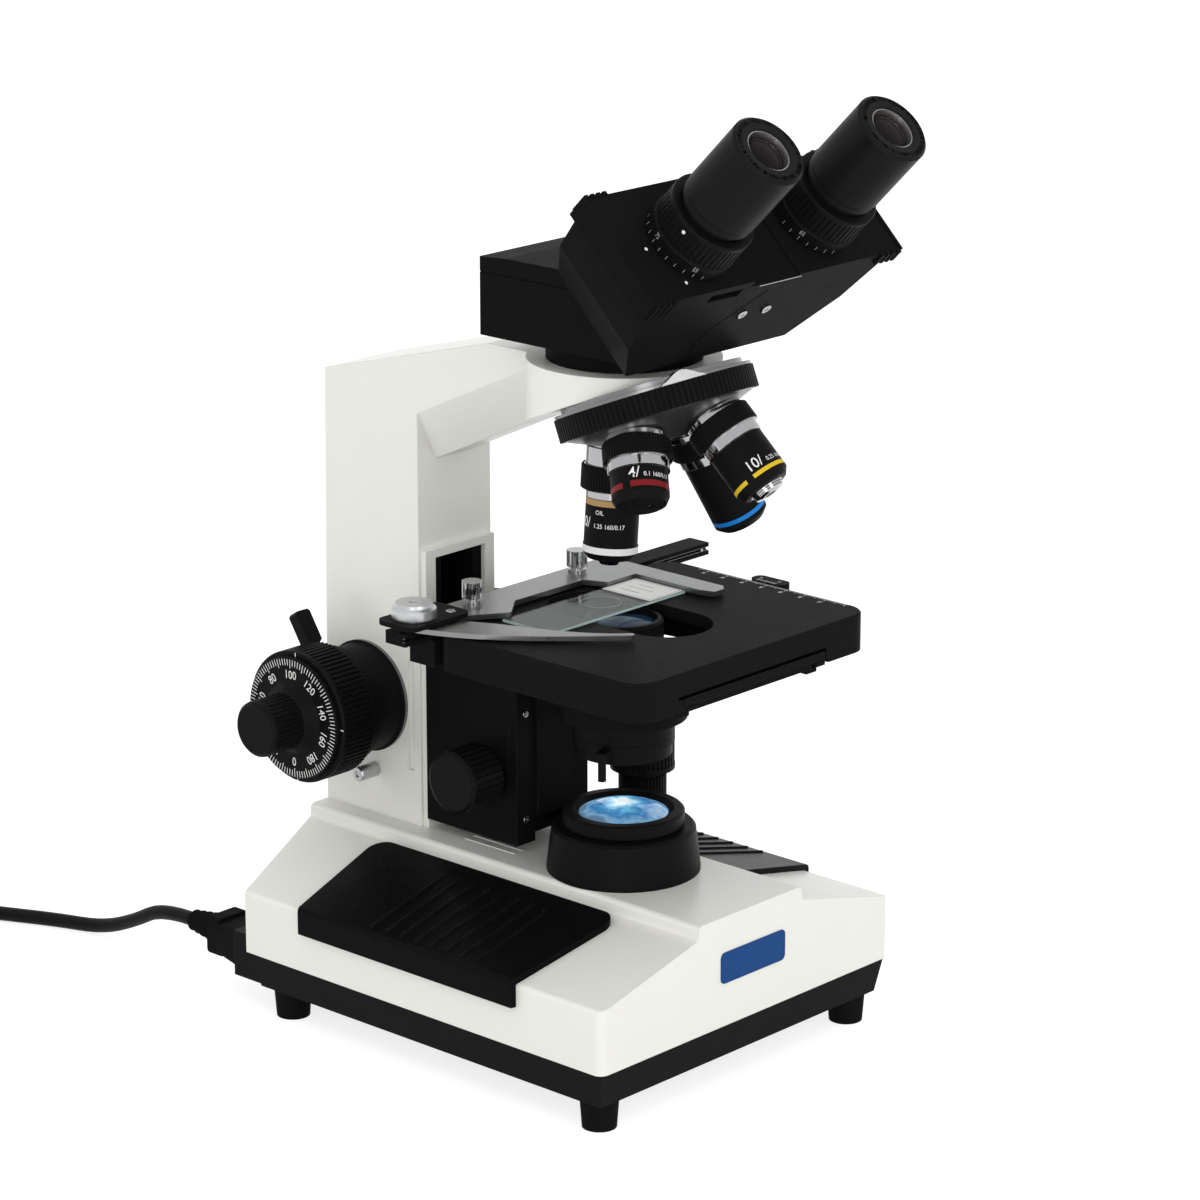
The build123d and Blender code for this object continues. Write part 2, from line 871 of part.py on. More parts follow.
def focus_carriage():
    """Black carriage: block in front of the arm, T-tongue with rack, and channel for the condenser."""
    body = block(-half_arm, half_arm, carriage_front, carriage_back, carriage_bottom_z, carriage_top)
    front = carriage_front
    upright = body.edges().filter_by(Axis.Z).filter_by_position(Axis.Y, front - 1, front + 1)
    body = chamfer(upright, carriage_edge / 3)
    body += block(-neck_half, neck_half, carriage_back - 1, tongue_front + 1, tongue_bottom_z, tongue_top_z)
    body += block(-tongue_half, tongue_half, tongue_front, tongue_back, tongue_bottom_z, tongue_top_z)
    body += block(-rack_half, rack_half, tongue_back - 1, rack_line - 1.25 * tooth_module - 1,
                  tongue_bottom_z, tongue_top_z)
    body += rack_teeth()
    channel = slide_flange_half + seat_gap
    depth = carriage_front + slide_flange + 2 * seat_gap
    body -= block(-channel, channel, carriage_front - 1, depth, carriage_bottom_z - 1, carriage_top + 1)
    return body - rod_x(
        condenser_shaft_radius + fit, -half_arm - 1, half_arm - 6, condenser_knob_y, condenser_knob_z,
    )


def carriage_gibs():
    """Two plates that hold the condenser slide in its channel."""
    front = carriage_front - gib_thickness
    gib = block(gib_inner, half_arm, front, carriage_front, carriage_bottom_z, carriage_top - 4)
    for z in (carriage_bottom_z + gib_screw_inset, carriage_top - 4 - 2.4 * gib_screw_inset):
        gib -= rod_y(gib_screw_radius, front - 1, front + 1.2, (gib_inner + half_arm) / 2, z)
    return joined(gib, mirrored(gib))


def stage_base_plate():
    """Lower layer of the stage, screwed to the carriage, with two ways for the upper layer."""
    body = rounded_plate(-under_half, under_half, under_front, under_back, under_z, under_top, 5)
    way_front = stage_front + stage_wall + stage_rearward + 2
    way_back = knob_y - knob_boss_radius - stage_forward - 1
    way = block(under_half - 1, way_half, way_front, way_back, under_top - way_height, under_top)
    body += way + mirrored(way)
    body -= disc(under_hole, under_z - 1, under_top + 1, 0, axis_y)
    return body


def stage_top_plate():
    """Upper layer: skirted plate with a long aperture and a notch that passes the lower layer."""
    low = stage_z - stage_skirt
    body = rounded_plate(-stage_half, stage_half, stage_front, stage_back, low, stage_z, stage_corner)
    rim = body.edges().group_by(Axis.Z)[-1]
    body = chamfer(rim, 0.6)
    body -= rounded_plate(
        -stage_half + stage_wall, stage_half - stage_wall, stage_front + stage_wall,
        stage_back - stage_wall, low - 1, stage_z - stage_plate, stage_corner - stage_wall,
    )
    notch = under_half + 1.2
    body -= block(-notch, notch, stage_front - 1, stage_back + 1, low - 1, under_top + clear)
    length = slot_back_y - slot_front_y
    slot = SlotOverall(length, 2 * slot_radius, rotation=90)
    body -= extrude(Pos(0, (slot_front_y + slot_back_y) / 2, low) * slot, stage_skirt + 1)
    runner = block(
        way_half + seat_gap, way_half + way_width, stage_front + stage_wall + 1,
        knob_y - knob_boss_radius - 1, under_top - way_height, stage_z - stage_plate + 0.5,
    )
    pad = block(
        under_half - 8, way_half + 1, stage_front + stage_wall + 6, knob_y - knob_boss_radius - 6,
        under_top + seat_gap, stage_z - stage_plate + 0.5,
    )
    return body + runner + mirrored(runner) + pad + mirrored(pad)


def y_vernier():
    """Index block beside the right edge of the stage, on a strap from the lower layer."""
    x0 = stage_half + clear
    top = rounded_plate(
        x0, x0 + vernier_width, vernier_y - vernier_length / 2, vernier_y + vernier_length / 2,
        stage_z - 9, stage_z + vernier_rise, 3,
    )
    low = under_z - strap_thickness
    post = block(x0 + 1, x0 + vernier_width - 1, vernier_y - 5, vernier_y + 5, low, stage_z - 8)
    strap = block(under_half - 8, x0 + 2, vernier_y - 5, vernier_y + 5, low, under_z)
    return top + post + strap


def x_guide():
    """Beam behind the upper layer that carries the X bar and the boss of the low knobs."""
    low = stage_z - stage_skirt
    body = block(-guide_half, guide_half, stage_back, stage_back + guide_depth, low, bar_z - seat_gap)
    notch = under_half + 1.2
    body -= block(-notch, notch, stage_back - 1, stage_back + guide_depth + 1, low - 1, under_top + clear)
    boss = disc(knob_boss_radius, low - knob_boss_height, low, knob_x, knob_y)
    web = block(
        knob_x - knob_boss_radius, knob_x + knob_boss_radius, knob_y, stage_back + guide_depth - 2,
        low - knob_boss_height / 2, low,
    )
    body += boss + web
    return body - disc(knob_post_radius + fit, low - knob_boss_height - 1, low - 0.5, knob_x, knob_y)


def x_bar():
    """Channel bar that carries the holder, with a ball groove along its front."""
    bar = block(bar_left, bar_right, bar_front, bar_front + bar_depth, bar_z, bar_top)
    middle = (bar_z + bar_top) / 2
    return bar - block(bar_left - 1, bar_right + 1, bar_front - 1, bar_front + bar_groove,
                       middle - 0.9, middle + 0.9)


def slide_holder():
    """Bright holder plate: back bar with a notch, and the fixed jaw at the right."""
    back_edge = slide_y + slide_width / 2 + seat_gap
    jaw = slide_x + slide_length / 2 + seat_gap
    outline = [
        (holder_left, holder_back), (jaw + holder_arm_width, holder_back),
        (jaw + holder_arm_width, holder_arm_end + 3), (jaw + holder_arm_width - 3, holder_arm_end),
        (jaw + 2, holder_arm_end), (jaw, holder_arm_end + 6), (jaw, back_edge),
        (notch_right + 4, back_edge), (notch_right, back_edge + notch_depth),
        (notch_left, back_edge + notch_depth), (notch_left - 12, back_edge),
        (slide_x - slide_length / 2 + 4, back_edge),
        (holder_left + 14, back_edge + 6), (holder_left + 8, back_edge + 10), (holder_left, back_edge + 14),
    ]
    body = along_z(outline, holder_z, holder_top)
    for x in (thumb_left_x, thumb_right_x):
        body -= disc(thumb_neck + fit, holder_z - 1, holder_top + 1, x, thumb_y)
    return body


def holder_thumbscrews():
    """Two knurled screws that hold the holder plate on the bar."""
    head = Pos(0, 0, holder_top + 2.2) * ribbed(thumb_radius, 0.5, thumb_rib_count, thumb_height)
    neck = disc(thumb_neck, holder_z, holder_top + 2.5)
    screw = head + neck + disc(thumb_radius - 0.6, holder_top, holder_top + 1)
    return joined(*[Pos(x, thumb_y, 0) * screw for x in (thumb_left_x, thumb_right_x)])


def specimen_slide():
    """Glass slide between the jaw and the finger."""
    return block(
        slide_x - slide_length / 2, slide_x + slide_length / 2, slide_y - slide_width / 2,
        slide_y + slide_width / 2, stage_z + seat_gap, stage_z + seat_gap + slide_glass,
    )


def bracket_outline():
    """Plan of the finger's bracket, from the bar to round the pivot."""
    return rounded_plate(
        finger_x - pivot_radius - 3, holder_left + 10, finger_y - pivot_radius - 2, holder_back + 2,
        0, bracket_sheet, 4,
    )


def holder_bracket():
    """Black bracket on the bar's left end, above the finger."""
    z = holder_z + finger_sheet + 2 * seat_gap
    body = Pos(0, 0, z) * bracket_outline()
    foot_x = finger_x + finger_root + 1.2
    body += block(foot_x, holder_left - clear, bar_front + 2, bar_front + bar_depth, bar_top, z + 0.5)
    return body - disc(pivot_pin + fit, z - 1, z + bracket_sheet + 1, finger_x, finger_y)


def slide_finger():
    """Curved bright finger with its turned pivot knob."""
    z0 = holder_z
    with BuildSketch(Plane.XY.offset(z0)) as blade:
        with BuildLine():
            Spline((-65.5, 8.0), (-55.0, -6.0), (-43.2, -34.0), (-25.4, -60.4))
            ThreePointArc((-25.4, -60.4), (-25.4, -62.4), (-27.6, -62.6))
            Spline((-27.6, -62.6), (-47.0, -43.0), (-66.0, -18.0), (-76.5, 8.0))
            Line((-76.5, 8.0), (-65.5, 8.0))
        make_face()
    body = extrude(blade.sketch, finger_sheet)
    body += disc(finger_root, z0, z0 + finger_sheet, finger_x, finger_y)
    knob_z = z0 + finger_sheet + 2 * seat_gap + bracket_sheet + seat_gap
    body += disc(pivot_pin, z0, knob_z + 1, finger_x, finger_y)
    knob = turned([
        (0, 0), (pivot_radius, 0), (pivot_radius, pivot_height - 2.2),
        (pivot_radius - 1.2, pivot_height - 1.2), (pivot_radius - 1.6, pivot_height), (2, pivot_height),
        (1.6, pivot_height - 0.8), (0, pivot_height - 0.8),
    ])
    return body + Pos(finger_x, finger_y, knob_z) * knob


def stage_knob(radius, top, length):
    """Ribbed knob hanging on the stage's coaxial spindle."""
    knob = ribbed(radius, 0.7, knob_rib_count, length - 4)
    skirt = disc(radius + 0.2, 0, 2)
    return Pos(knob_x, knob_y, top - length) * (Pos(0, 0, 2) * knob + skirt + disc(radius - 1, 0, length))


def stage_y_knob():
    """Upper knob, on a tube that reaches up into the stage."""
    body = stage_knob(y_knob_radius, y_knob_top_z, y_knob_length)
    post_top = stage_z - stage_skirt - 1
    body += disc(knob_post_radius, y_knob_top_z - 1, post_top, knob_x, knob_y)
    bottom = y_knob_top_z - y_knob_length
    return body - disc(3 + fit, bottom - 1, post_top + 1, knob_x, knob_y)


def stage_x_knob():
    """Lower knob, on a rod through the upper knob's tube."""
    top = y_knob_top_z - y_knob_length - clear
    body = stage_knob(x_knob_radius, top, x_knob_length)
    return body + disc(3, top - 1, stage_z - stage_skirt - 1, knob_x, knob_y)


def condenser_carrier():
    """Slide in the carriage's channel, with an arm and ring round the condenser."""
    y0 = carriage_front + seat_gap
    body = block(-slide_flange_half, slide_flange_half, y0, y0 + slide_flange, slide_low_z, slide_high_z)
    neck = gib_inner - seat_gap
    front = carriage_front - gib_thickness - 1.5
    body += block(-neck, neck, front, y0 + 1, slide_low_z, slide_high_z)
    ring_z = carrier_z + carrier_height
    body += block(-neck, neck, axis_y + condenser_body_radius, front + 1, carrier_z, ring_z)
    body += disc(carrier_radius, carrier_z, ring_z, 0, axis_y)
    body -= disc(condenser_body_radius + fit, carrier_z - 1, ring_z + 1, 0, axis_y)
    post = filter_place()
    body += disc(filter_post_radius + 2.5, carrier_z, carrier_z + 7, *post)
    body -= disc(condenser_body_radius + fit, carrier_z - 1, ring_z + 1, 0, axis_y)
    return body - disc(filter_post_radius + fit, carrier_z - 1, carrier_z + 5.5, *post)


def filter_place():
    """Plan position of the post on which the filter holder swings."""
    turn = radians(filter_angle)
    return filter_post_reach * cos(turn), axis_y + filter_post_reach * sin(turn)


def condenser_body():
    """Stepped condenser barrel, hollow, with a seat for its top lens."""
    top = condenser_top_z
    low = condenser_bottom_z
    nose_z = top - condenser_nose_height
    r = condenser_body_radius
    nose = condenser_nose_radius
    flange = carrier_z + carrier_height
    lens = condenser_lens_radius + fit
    profile = [
        (r - 3, low), (r, low), (r, flange), (r + 2, flange), (r + 2, flange + 3), (r, flange + 5),
        (r, nose_z - 3), (nose, nose_z), (nose, top - 1), (nose - 1, top), (lens, top), (lens, top - 6),
        (lens - 1.5, top - 6), (lens - 1.5, nose_z - 4), (r - 3, nose_z - 8),
    ]
    return Pos(0, axis_y, 0) * turned(profile)


def condenser_lens():
    return Pos(0, axis_y, condenser_top_z - 6) * dome(condenser_lens_radius, 3.5, 2.0)


def condenser_knob():
    """Ribbed knob and pinion shaft that raise the condenser."""
    outer = -half_arm - condenser_shaft_show - condenser_knob_length
    knob = ribbed(condenser_knob_radius, 0.8, condenser_rib_count, condenser_knob_length - 2)
    cap = turned([
        (0, 0), (condenser_knob_radius - 1.6, 0), (condenser_knob_radius, 1.0),
        (condenser_knob_radius, 2.2), (0, 2.2),
    ])
    body = Pos(outer, condenser_knob_y, condenser_knob_z) * Rot(0, 90, 0) * (Pos(0, 0, 2) * knob + cap)
    return body + rod_x(condenser_shaft_radius, outer + 2, half_arm - 7, condenser_knob_y, condenser_knob_z)


def iris_lever():
    """Iris ring below the condenser, with a lever that ends in a hanging pin."""
    top = condenser_bottom_z - seat_gap
    low = top - iris_height
    ring = tube(condenser_body_radius, condenser_body_radius - 4, low, top)
    arm = block(condenser_body_radius - 1, iris_reach + 2, -2, 2, low + 0.5, top - 0.5)
    pin = disc(iris_pin_radius, low - iris_pin_length + 2, top - 0.5, iris_reach, 0)
    return Pos(0, axis_y, 0) * Rot(0, 0, iris_angle) * (ring + arm + pin)


def filter_holder():
    """Swing-out ring below the iris, on a post beside the condenser."""
    top = condenser_bottom_z - 2 * seat_gap - iris_height
    low = top - filter_height
    ring = disc(filter_radius, low, top) - disc(filter_bore, low + 1.2, top + 1)
    ring -= disc(filter_bore - 1.5, low - 1, top)
    lug = block(filter_radius - 2, filter_post_reach, -3.5, 3.5, low, top)
    post = disc(filter_post_radius, low, carrier_z + 5, filter_post_reach, 0)
    eye = disc(filter_post_radius + 1.6, low, top, filter_post_reach, 0)
    return Pos(0, axis_y, 0) * Rot(0, 0, filter_angle) * (ring + lug + eye + post)


def nosepiece_seat():
    """Fixed bright plate under the head seat, with a thin flange, the pivot stud and the detent spring."""
    low = turret_height / 2 + clear
    top = seat_top()
    plate = turned([
        (0, low), (flange_radius, low), (flange_radius, low + flange_height),
        (seat_radius, low + flange_height), (seat_radius, top), (0, top),
    ])
    stud = disc(pivot_stud_radius, low - pivot_stud_depth, low + 1)
    half = detent_width / 2
    hump = [(half, low), (-half, low)]
    for step in range(1, detent_steps):
        t = 2 * step / detent_steps - 1
        hump.append((t * half, low + flange_height / 2 + detent_rise * cos(t * pi / 2) ** 2))
    spring = Rot(0, 0, detent_angle) * along_x(hump, seat_radius - 3, flange_radius)
    body = turret_frame.location * (plate + stud + spring)
    return body - disc(light_bore, turret_z - 60, head_seat_z, 0, axis_y)


def objective_place(quarter):
    """Frame of one objective: its axis passes through the turret's apex, Z up along it."""
    turn = 90 * quarter + turret_turn
    return turret_apex.location * Rot(0, 0, turn) * Rot(turret_tilt, 0, 0) * Pos(0, 0, -shoulder_reach)


def nosepiece_turret():
    """Satin dish with four seats, each square to its objective."""
    top = turret_height / 2
    slope = tan(tilt)
    seat_r = shoulder_reach * sin(tilt)
    seat_local = (axis_y - turret_y) / sin(tilt) - shoulder_reach * cos(tilt)

    def face_z(r):
        return seat_local + slope * (r - seat_r)

    rim = turret_radius - 1.5
    body = turned([
        (0, top), (turret_radius, top), (turret_radius, -top), (rim, face_z(rim)),
        (cone_inner_radius, face_z(cone_inner_radius)), (0, face_z(cone_inner_radius)),
    ])
    body -= disc(pivot_stud_radius + fit, top - pivot_stud_depth - 1, top + 1)
    body = turret_frame.location * body
    for quarter in range(4):
        place = objective_place(quarter)
        body -= place * disc(thread_radius + fit, -1, thread_length + 0.5)
        body -= place * disc(passage_radius, 0, shoulder_reach)
    return body


def nosepiece_grip():
    """Ribbed black grip ring round the turret."""
    half = turret_height / 2 + 0.2
    ring = Pos(0, 0, -half) * ribbed(grip_radius, grip_rib_depth, grip_rib_count, 2 * half)
    return turret_frame.location * (ring - disc(turret_radius + fit, -half - 1, half + 1))


def objective(outline, quarter):
    """One objective: thread, bright shoulder and barrel, turned from an (r, drop) outline."""
    profile = [(0, thread_length), (thread_radius, thread_length), (thread_radius, 0)]
    profile += [(r, -drop) for r, drop in outline]
    profile += [(0, -outline[-1][1])]
    return objective_place(quarter) * turned(profile)


def objective_head(neck):
    """Outline that the objectives share: bright neck, ribbed band and bright ring below it."""
    c = objective_collar
    return [
        (c - 1.2, 0), (c - 1.2, neck - 0.2), (c, neck), (c, neck + 7.6), (c - 0.5, neck + 7.9),
        (c - 1.1, neck + 7.9), (c - 1.1, neck + 11.6),
    ]


def objective_4x():
    return objective(objective_head(2.5) + [
        (10.9, 14.2), (10.9, 24.2), (9.6, 26.8), (8.0, 27.6), (5.0, 27.6), (4.6, 26.6),
    ], 1)


def objective_10x():
    return objective(objective_head(2.5) + [
        (11.2, 14.4), (11.2, 31.5), (9.2, 34.0), (6.4, 34.5), (6.0, 36.4), (3.4, 37.0),
    ], 2)


def objective_40x():
    return objective(objective_head(2.5) + [
        (11.0, 14.4), (11.0, 42.4), (8.8, 44.6), (5.0, 45.0), (4.4, 45.8),
    ], 3)


def objective_100x():
    c = objective_collar
    return objective([
        (c - 1.6, 0), (c - 1.6, 7.0), (c - 0.4, 7.2), (c - 0.4, 16.4), (c - 0.9, 16.8), (10.6, 16.8),
        (10.6, 19.6), (10.4, 19.8), (10.4, 37.8), (10.7, 38.0), (10.7, 41.0), (8.6, 43.6), (5.0, 44.2),
        (3.6, 46.0),
    ], 0)


def plate_top(side):
    """Height of a sliding plate's top: the left one lies above the right one."""
    return right_plate_rise + (plate_step if side < 0 else 0)


def finger_grips(side):
    """Short grip bars at the two outer corners of a plate."""
    bars = []
    half = grip_bar_width / 2
    for bar in range(grip_bar_count):
        x = side * (plate_half - 2 - bar * grip_bar_pitch)
        for y0, y1 in ((-plate_low - 1.2, -plate_low + 0.4), (plate_high - 0.4, plate_high + 1.2)):
            bars.append(block(x - half, x + half, y0, y1, -plate_depth + 0.8, plate_top(side) + 0.5))
    return bars


def head_housing():
    """Black prism housing: rear block on its round foot, and the wide inclined slab."""
    top = -plate_depth - seat_gap
    profile = [
        (slab_half, top), (slab_waist, -slab_waist_depth), (slab_floor_half, -slab_depth),
        (-slab_floor_half, -slab_depth), (-slab_waist, -slab_waist_depth), (-slab_half, top),
    ]
    slab = along_y(profile, -plate_low + slab_setback, plate_high)
    slab -= block(-slab_floor_half, slab_floor_half, -beam_radius, beam_radius, -slab_waist_depth, top + 1)
    bend = -seam_shift + seam_width
    seam = [
        (0, top - 1), (seam_width, top - 1), (bend, -seam_bend), (bend, -slab_depth - 1),
        (-seam_shift, -slab_depth - 1), (-seam_shift, -seam_bend),
    ]
    face = -plate_low + slab_setback
    slab -= along_y(seam, face - 1, face + seam_depth)
    slab = head_frame.location * slab
    edge = head_frame.location * Pos(0, face, -slab_depth)
    front_y = edge.position.Y
    low = edge.position.Z + head_rear_lift
    back_y = axis_y + head_rear
    rear_top = head_top - head_rear_drop
    meet_y = front_y + 0.84 * (head_top - low) / tan(incline)
    outline = [
        (back_y, low), (front_y, low), (meet_y, head_top), (back_y - 14, head_top), (back_y, rear_top),
    ]
    rear = along_x(outline, -head_half, head_half)
    rear = fillet(rear.edges().filter_by(Axis.Z).filter_by_position(Axis.Y, back_y - 1, back_y + 1), 1.0)
    seam_z = head_top - head_seam_drop
    groove = block(-head_half - 1, head_half + 1, meet_y, back_y + 1, seam_z, seam_z + head_seam)
    inside = head_half - head_seam
    core = block(-inside, inside, meet_y, back_y - head_seam, seam_z - 1, seam_z + 1)
    rear -= groove - core
    foot = disc(foot_ring_radius, head_seat_z, head_z + 4, 0, axis_y)
    spigot = disc(spigot_radius, head_seat_z - spigot_depth, head_seat_z + 1, 0, axis_y)
    body = slab + rear + foot + spigot
    return body - disc(beam_radius, head_seat_z - spigot_depth - 1, head_z + 12, 0, axis_y)


def plate_block(x0, x1, z0, z1):
    """Part of a sliding plate, over the plates' full depth."""
    return block(min(x0, x1), max(x0, x1), -plate_low, plate_high, z0, z1)


def head_plate(side, root, lap_to, lap_low, lap_high):
    """Sliding plate: a thick outer part, a thin inner part, corner grips, a rim and a light passage."""
    top = plate_top(side)
    body = plate_block(side * plate_half, root, -plate_depth, top)
    body += plate_block(root + side, lap_to, lap_low, lap_high)
    for bar in finger_grips(side):
        body += bar
    edge = side * plate_half
    body += plate_block(edge - side * plate_rim, edge + side * plate_rim, -plate_depth, top + plate_rim)
    passage = disc(beam_radius, -plate_depth - 1, top + 1, side * tube_spacing / 2, 0)
    return head_frame.location * (body - passage)


def head_plate_left():
    """Left sliding plate; its inner part laps over the right plate's tongue."""
    return head_plate(-1, -lap_root, -lap_end, tongue_rise + clear, plate_top(-1))


def head_plate_right():
    """Right sliding plate, with the tongue that the left plate laps over."""
    return head_plate(1, raised_start, -tongue_end, -plate_depth, tongue_rise)


def tube_place(side):
    """Frame on a plate's top, on its tube's axis."""
    return head_frame.location * Pos(side * tube_spacing / 2, 0, plate_top(side))


def diopter_ring(side):
    """Scaled ring on a plate, ribbed above, open for the eyepiece."""
    bore = eyepiece_neck_radius + fit
    r = diopter_radius
    high = diopter_height
    foot = turned([
        (bore, seat_gap), (diopter_foot_radius, seat_gap), (diopter_foot_radius, 6.4), (r - 0.6, 7.2),
        (r - 0.6, high - 1.2), (bore, high - 1.2),
    ])
    ribs = Pos(0, 0, 7.4) * ribbed(r, 0.5, diopter_rib_count, high - 9.4)
    ribs -= disc(r - 1.5, 7, high)
    inner = r - diopter_wall
    lip = turned([(inner, high - 2), (r, high - 2), (r, high - 0.5), (r - 0.5, high), (inner, high)])
    return tube_place(side) * (foot + ribs + lip)


def eyepiece(side):
    """Eyepiece barrel with a recessed eye end, and its eye lens as a second solid."""
    r = eyepiece_radius
    end = eyepiece_length
    cup = end - eyepiece_cup_depth
    lens = eye_lens_radius + fit
    seat = cup - eye_lens_edge - 1
    neck = eyepiece_neck_radius
    lip = diopter_height
    low = 1.0
    barrel = turned([
        (neck - 2, low), (neck, low), (neck, lip + 1.5), (r - 0.3, lip + 2.4), (r - 0.3, lip + 5),
        (r, lip + 5.6), (r, end - 1), (r - 1, end), (r - 3.2, end), (lens + 0.8, cup + 0.6), (lens, cup),
        (lens, seat), (lens - 1, seat), (neck - 2, cup - 14),
    ])
    glass = Pos(0, 0, seat) * dome(eye_lens_radius, eye_lens_edge, eye_lens_dome)
    place = tube_place(side)
    return joined(place * barrel, place * glass)


def head_clamp_screw():
    """Knurled screw in the head seat's right side."""
    z = head_seat_z - spigot_depth / 2 - clear
    knob = Rot(0, 90, 0) * ribbed(clamp_radius, 0.5, 18, clamp_length)
    body = Pos(boss_radius + clear, axis_y, z) * knob
    return body + rod_x(2.0, spigot_radius + 2 * clear, boss_radius + 1, axis_y, z)


def focus_bushes():
    """Two bushes that carry the focus shaft, each a smooth collar with a sleeve in the arm."""
    z = bush_length
    profile = [
        (coarse_shaft_radius + fit, -8), (bush_sleeve_radius - fit, -8), (bush_sleeve_radius - fit, 0),
        (bush_radius + bush_rim, 0), (bush_radius + bush_rim, 1.5), (bush_radius, 2),
        (bush_radius, z - 0.8), (bush_radius - 0.8, z), (coarse_shaft_radius + fit, z),
    ]
    right = Pos(half_arm, focus_y, focus_z) * Rot(0, 90, 0) * turned(profile)
    return joined(mirrored(right), right)


def tension_lever():
    """Ring between the left bush and the coarse knob, with a short lever over the bush."""
    reach = tension_radius + lever_reach
    ring = tube(tension_radius, coarse_shaft_radius + clear, 0, tension_width)
    half = lever_thickness / 2
    root = bush_radius + bush_rim + 2
    lever = along_x([
        (root, 0), (reach - 1, 0), (reach, 1), (reach, tension_width + lever_overhang - 1),
        (reach - 1, tension_width + lever_overhang), (root + 2, tension_width + lever_overhang),
        (root, tension_width),
    ], -half, half)
    stem = block(-half, half, tension_radius - 3, root + 1, 0, tension_width)
    body = Rot(0, 0, -lever_angle) * (ring + stem + lever)
    return Pos(-tension_face, focus_y, focus_z) * Rot(0, 90, 0) * Rot(0, 0, 90) * body


def pinion_outline():
    """Gear outline with straight flanks, thinner than the rack's gaps."""
    points = []
    step = 2 * pi / tooth_count
    root = pitch_radius - 1.25 * tooth_module
    tip = pitch_radius + 0.9 * tooth_module
    base = (pi * tooth_module / 4 - tooth_slim / 2 + 0.35) / pitch_radius
    crest = (pi * tooth_module / 4 - tooth_slim / 2 - 0.3) / pitch_radius
    for tooth in range(tooth_count):
        middle = step * (tooth + 0.5)
        for radius, angle in ((root, -base), (tip, -crest), (tip, crest), (root, base)):
            points.append((radius * cos(middle + angle), radius * sin(middle + angle)))
    return points


def coarse_shaft():
    """Hollow coarse shaft with the pinion in its middle."""
    length = 2 * (coarse_face - 2)
    gear = along_z(pinion_outline(), -rack_half - 1, rack_half + 1)
    body = disc(coarse_shaft_radius, -length / 2, length / 2) + gear
    body -= disc(fine_shaft_radius + fit, -length / 2 - 1, length / 2 + 1)
    return Pos(0, focus_y, focus_z) * Rot(0, 90, 0) * body


def coarse_knob():
    """Ribbed coarse knob, dished for the graduated drum; local Z runs outward."""
    ribs = ribbed(coarse_radius, coarse_rib_depth, coarse_rib_count, coarse_length - 2 * coarse_rim)
    inner = coarse_radius - coarse_rib_depth
    end = coarse_length
    rim = turned([
        (0, 0), (inner - 1, 0), (inner, 1), (inner, end - coarse_rim), (coarse_radius, end - coarse_rim),
        (coarse_radius, end - 0.6), (coarse_radius - 0.6, end), (0, end),
    ])
    body = Pos(0, 0, coarse_rim) * ribs + rim
    return body - disc(coarse_shaft_radius + fit, -1, end + 1)


def coarse_knob_right():
    return Pos(coarse_inner, focus_y, focus_z) * Rot(0, 90, 0) * coarse_knob()


def coarse_knob_left():
    return mirrored(coarse_knob_right())


def fine_shaft():
    return rod_x(fine_shaft_radius, -fine_end + 3, fine_end - 3, focus_y, focus_z)


def fine_knob(drum):
    """Fine knob on a flared hub; the left one carries the graduated drum. Local Z runs outward."""
    r = fine_radius
    face = graduated_thickness
    ribs_low = face + fine_hub_length
    end = face + fine_length
    hub = turned([
        (0, 0), (drum, 0), (drum, face - 0.5), (drum - 0.6, face), (fine_hub_radius, face),
        (r + 1, ribs_low), (r + 0.2, ribs_low + 1), (0, ribs_low + 1),
    ])
    ribs = Pos(0, 0, ribs_low) * ribbed(r, 0.6, fine_rib_count, end - ribs_low - 2)
    cap = turned([(0, end - 3), (r - 0.2, end - 3), (r - 0.2, end - 1.2), (r - 1.4, end), (0, end)])
    return hub + ribs + cap - disc(fine_shaft_radius + fit, -1, end - 3)


def fine_knob_left():
    right = Pos(dial_inner, focus_y, focus_z) * Rot(0, 90, 0) * fine_knob(graduated_radius)
    return mirrored(right)


def fine_knob_right():
    return Pos(dial_inner, focus_y, focus_z) * Rot(0, 90, 0) * fine_knob(coarse_radius - 6)


def cord_route():
    """Points of the cord from the strain relief to where the coil begins."""
    start = (inlet_x, relief_end_y, inlet_z)
    entry = coil_entry()
    lead = entry - coil_tangent(0) * coil_lead
    return [Vector(*start)] + [Vector(*point) for point in route_tail] + [lead, entry]


def coil_entry():
    """Start of the coil: its first turn runs straight for one diameter."""
    return coil_point(0) - coil_tangent(0) * cord_diameter


def coil_end():
    """Angle, point and direction at which the coil's last turn runs off to the plug."""
    angle = coil_quarters * pi / 2
    direction = coil_tangent(angle)
    return coil_point(angle), coil_point(angle) + direction * mains_plug_lead, direction


def corner_radii(route):
    """Largest arc that the two runs at each corner allow."""
    radii = []
    for before, corner, after in zip(route, route[1:], route[2:]):
        turn = radians((corner - before).get_angle(after - corner))
        shorter = min((corner - before).length, (after - corner).length)
        radii.append(0.45 * shorter / tan(turn / 2))
    return radii


def coil_state(angle):
    """Radius and height of the coil after so much turning from its start."""
    total = coil_quarters * pi / 2
    climb = pi
    inward = (total - climb) / 2
    span = coil_pitch * inward / (2 * pi)
    outer = coil_radius + span / 2
    low = cord_radius + cord_floor
    if angle <= inward:
        return outer - coil_pitch * angle / (2 * pi), low
    if angle < inward + climb:
        share = (angle - inward) / climb
        return outer - span, low + coil_layer * share * share * (3 - 2 * share)
    return outer - span + coil_pitch * (angle - inward - climb) / (2 * pi), low + coil_layer


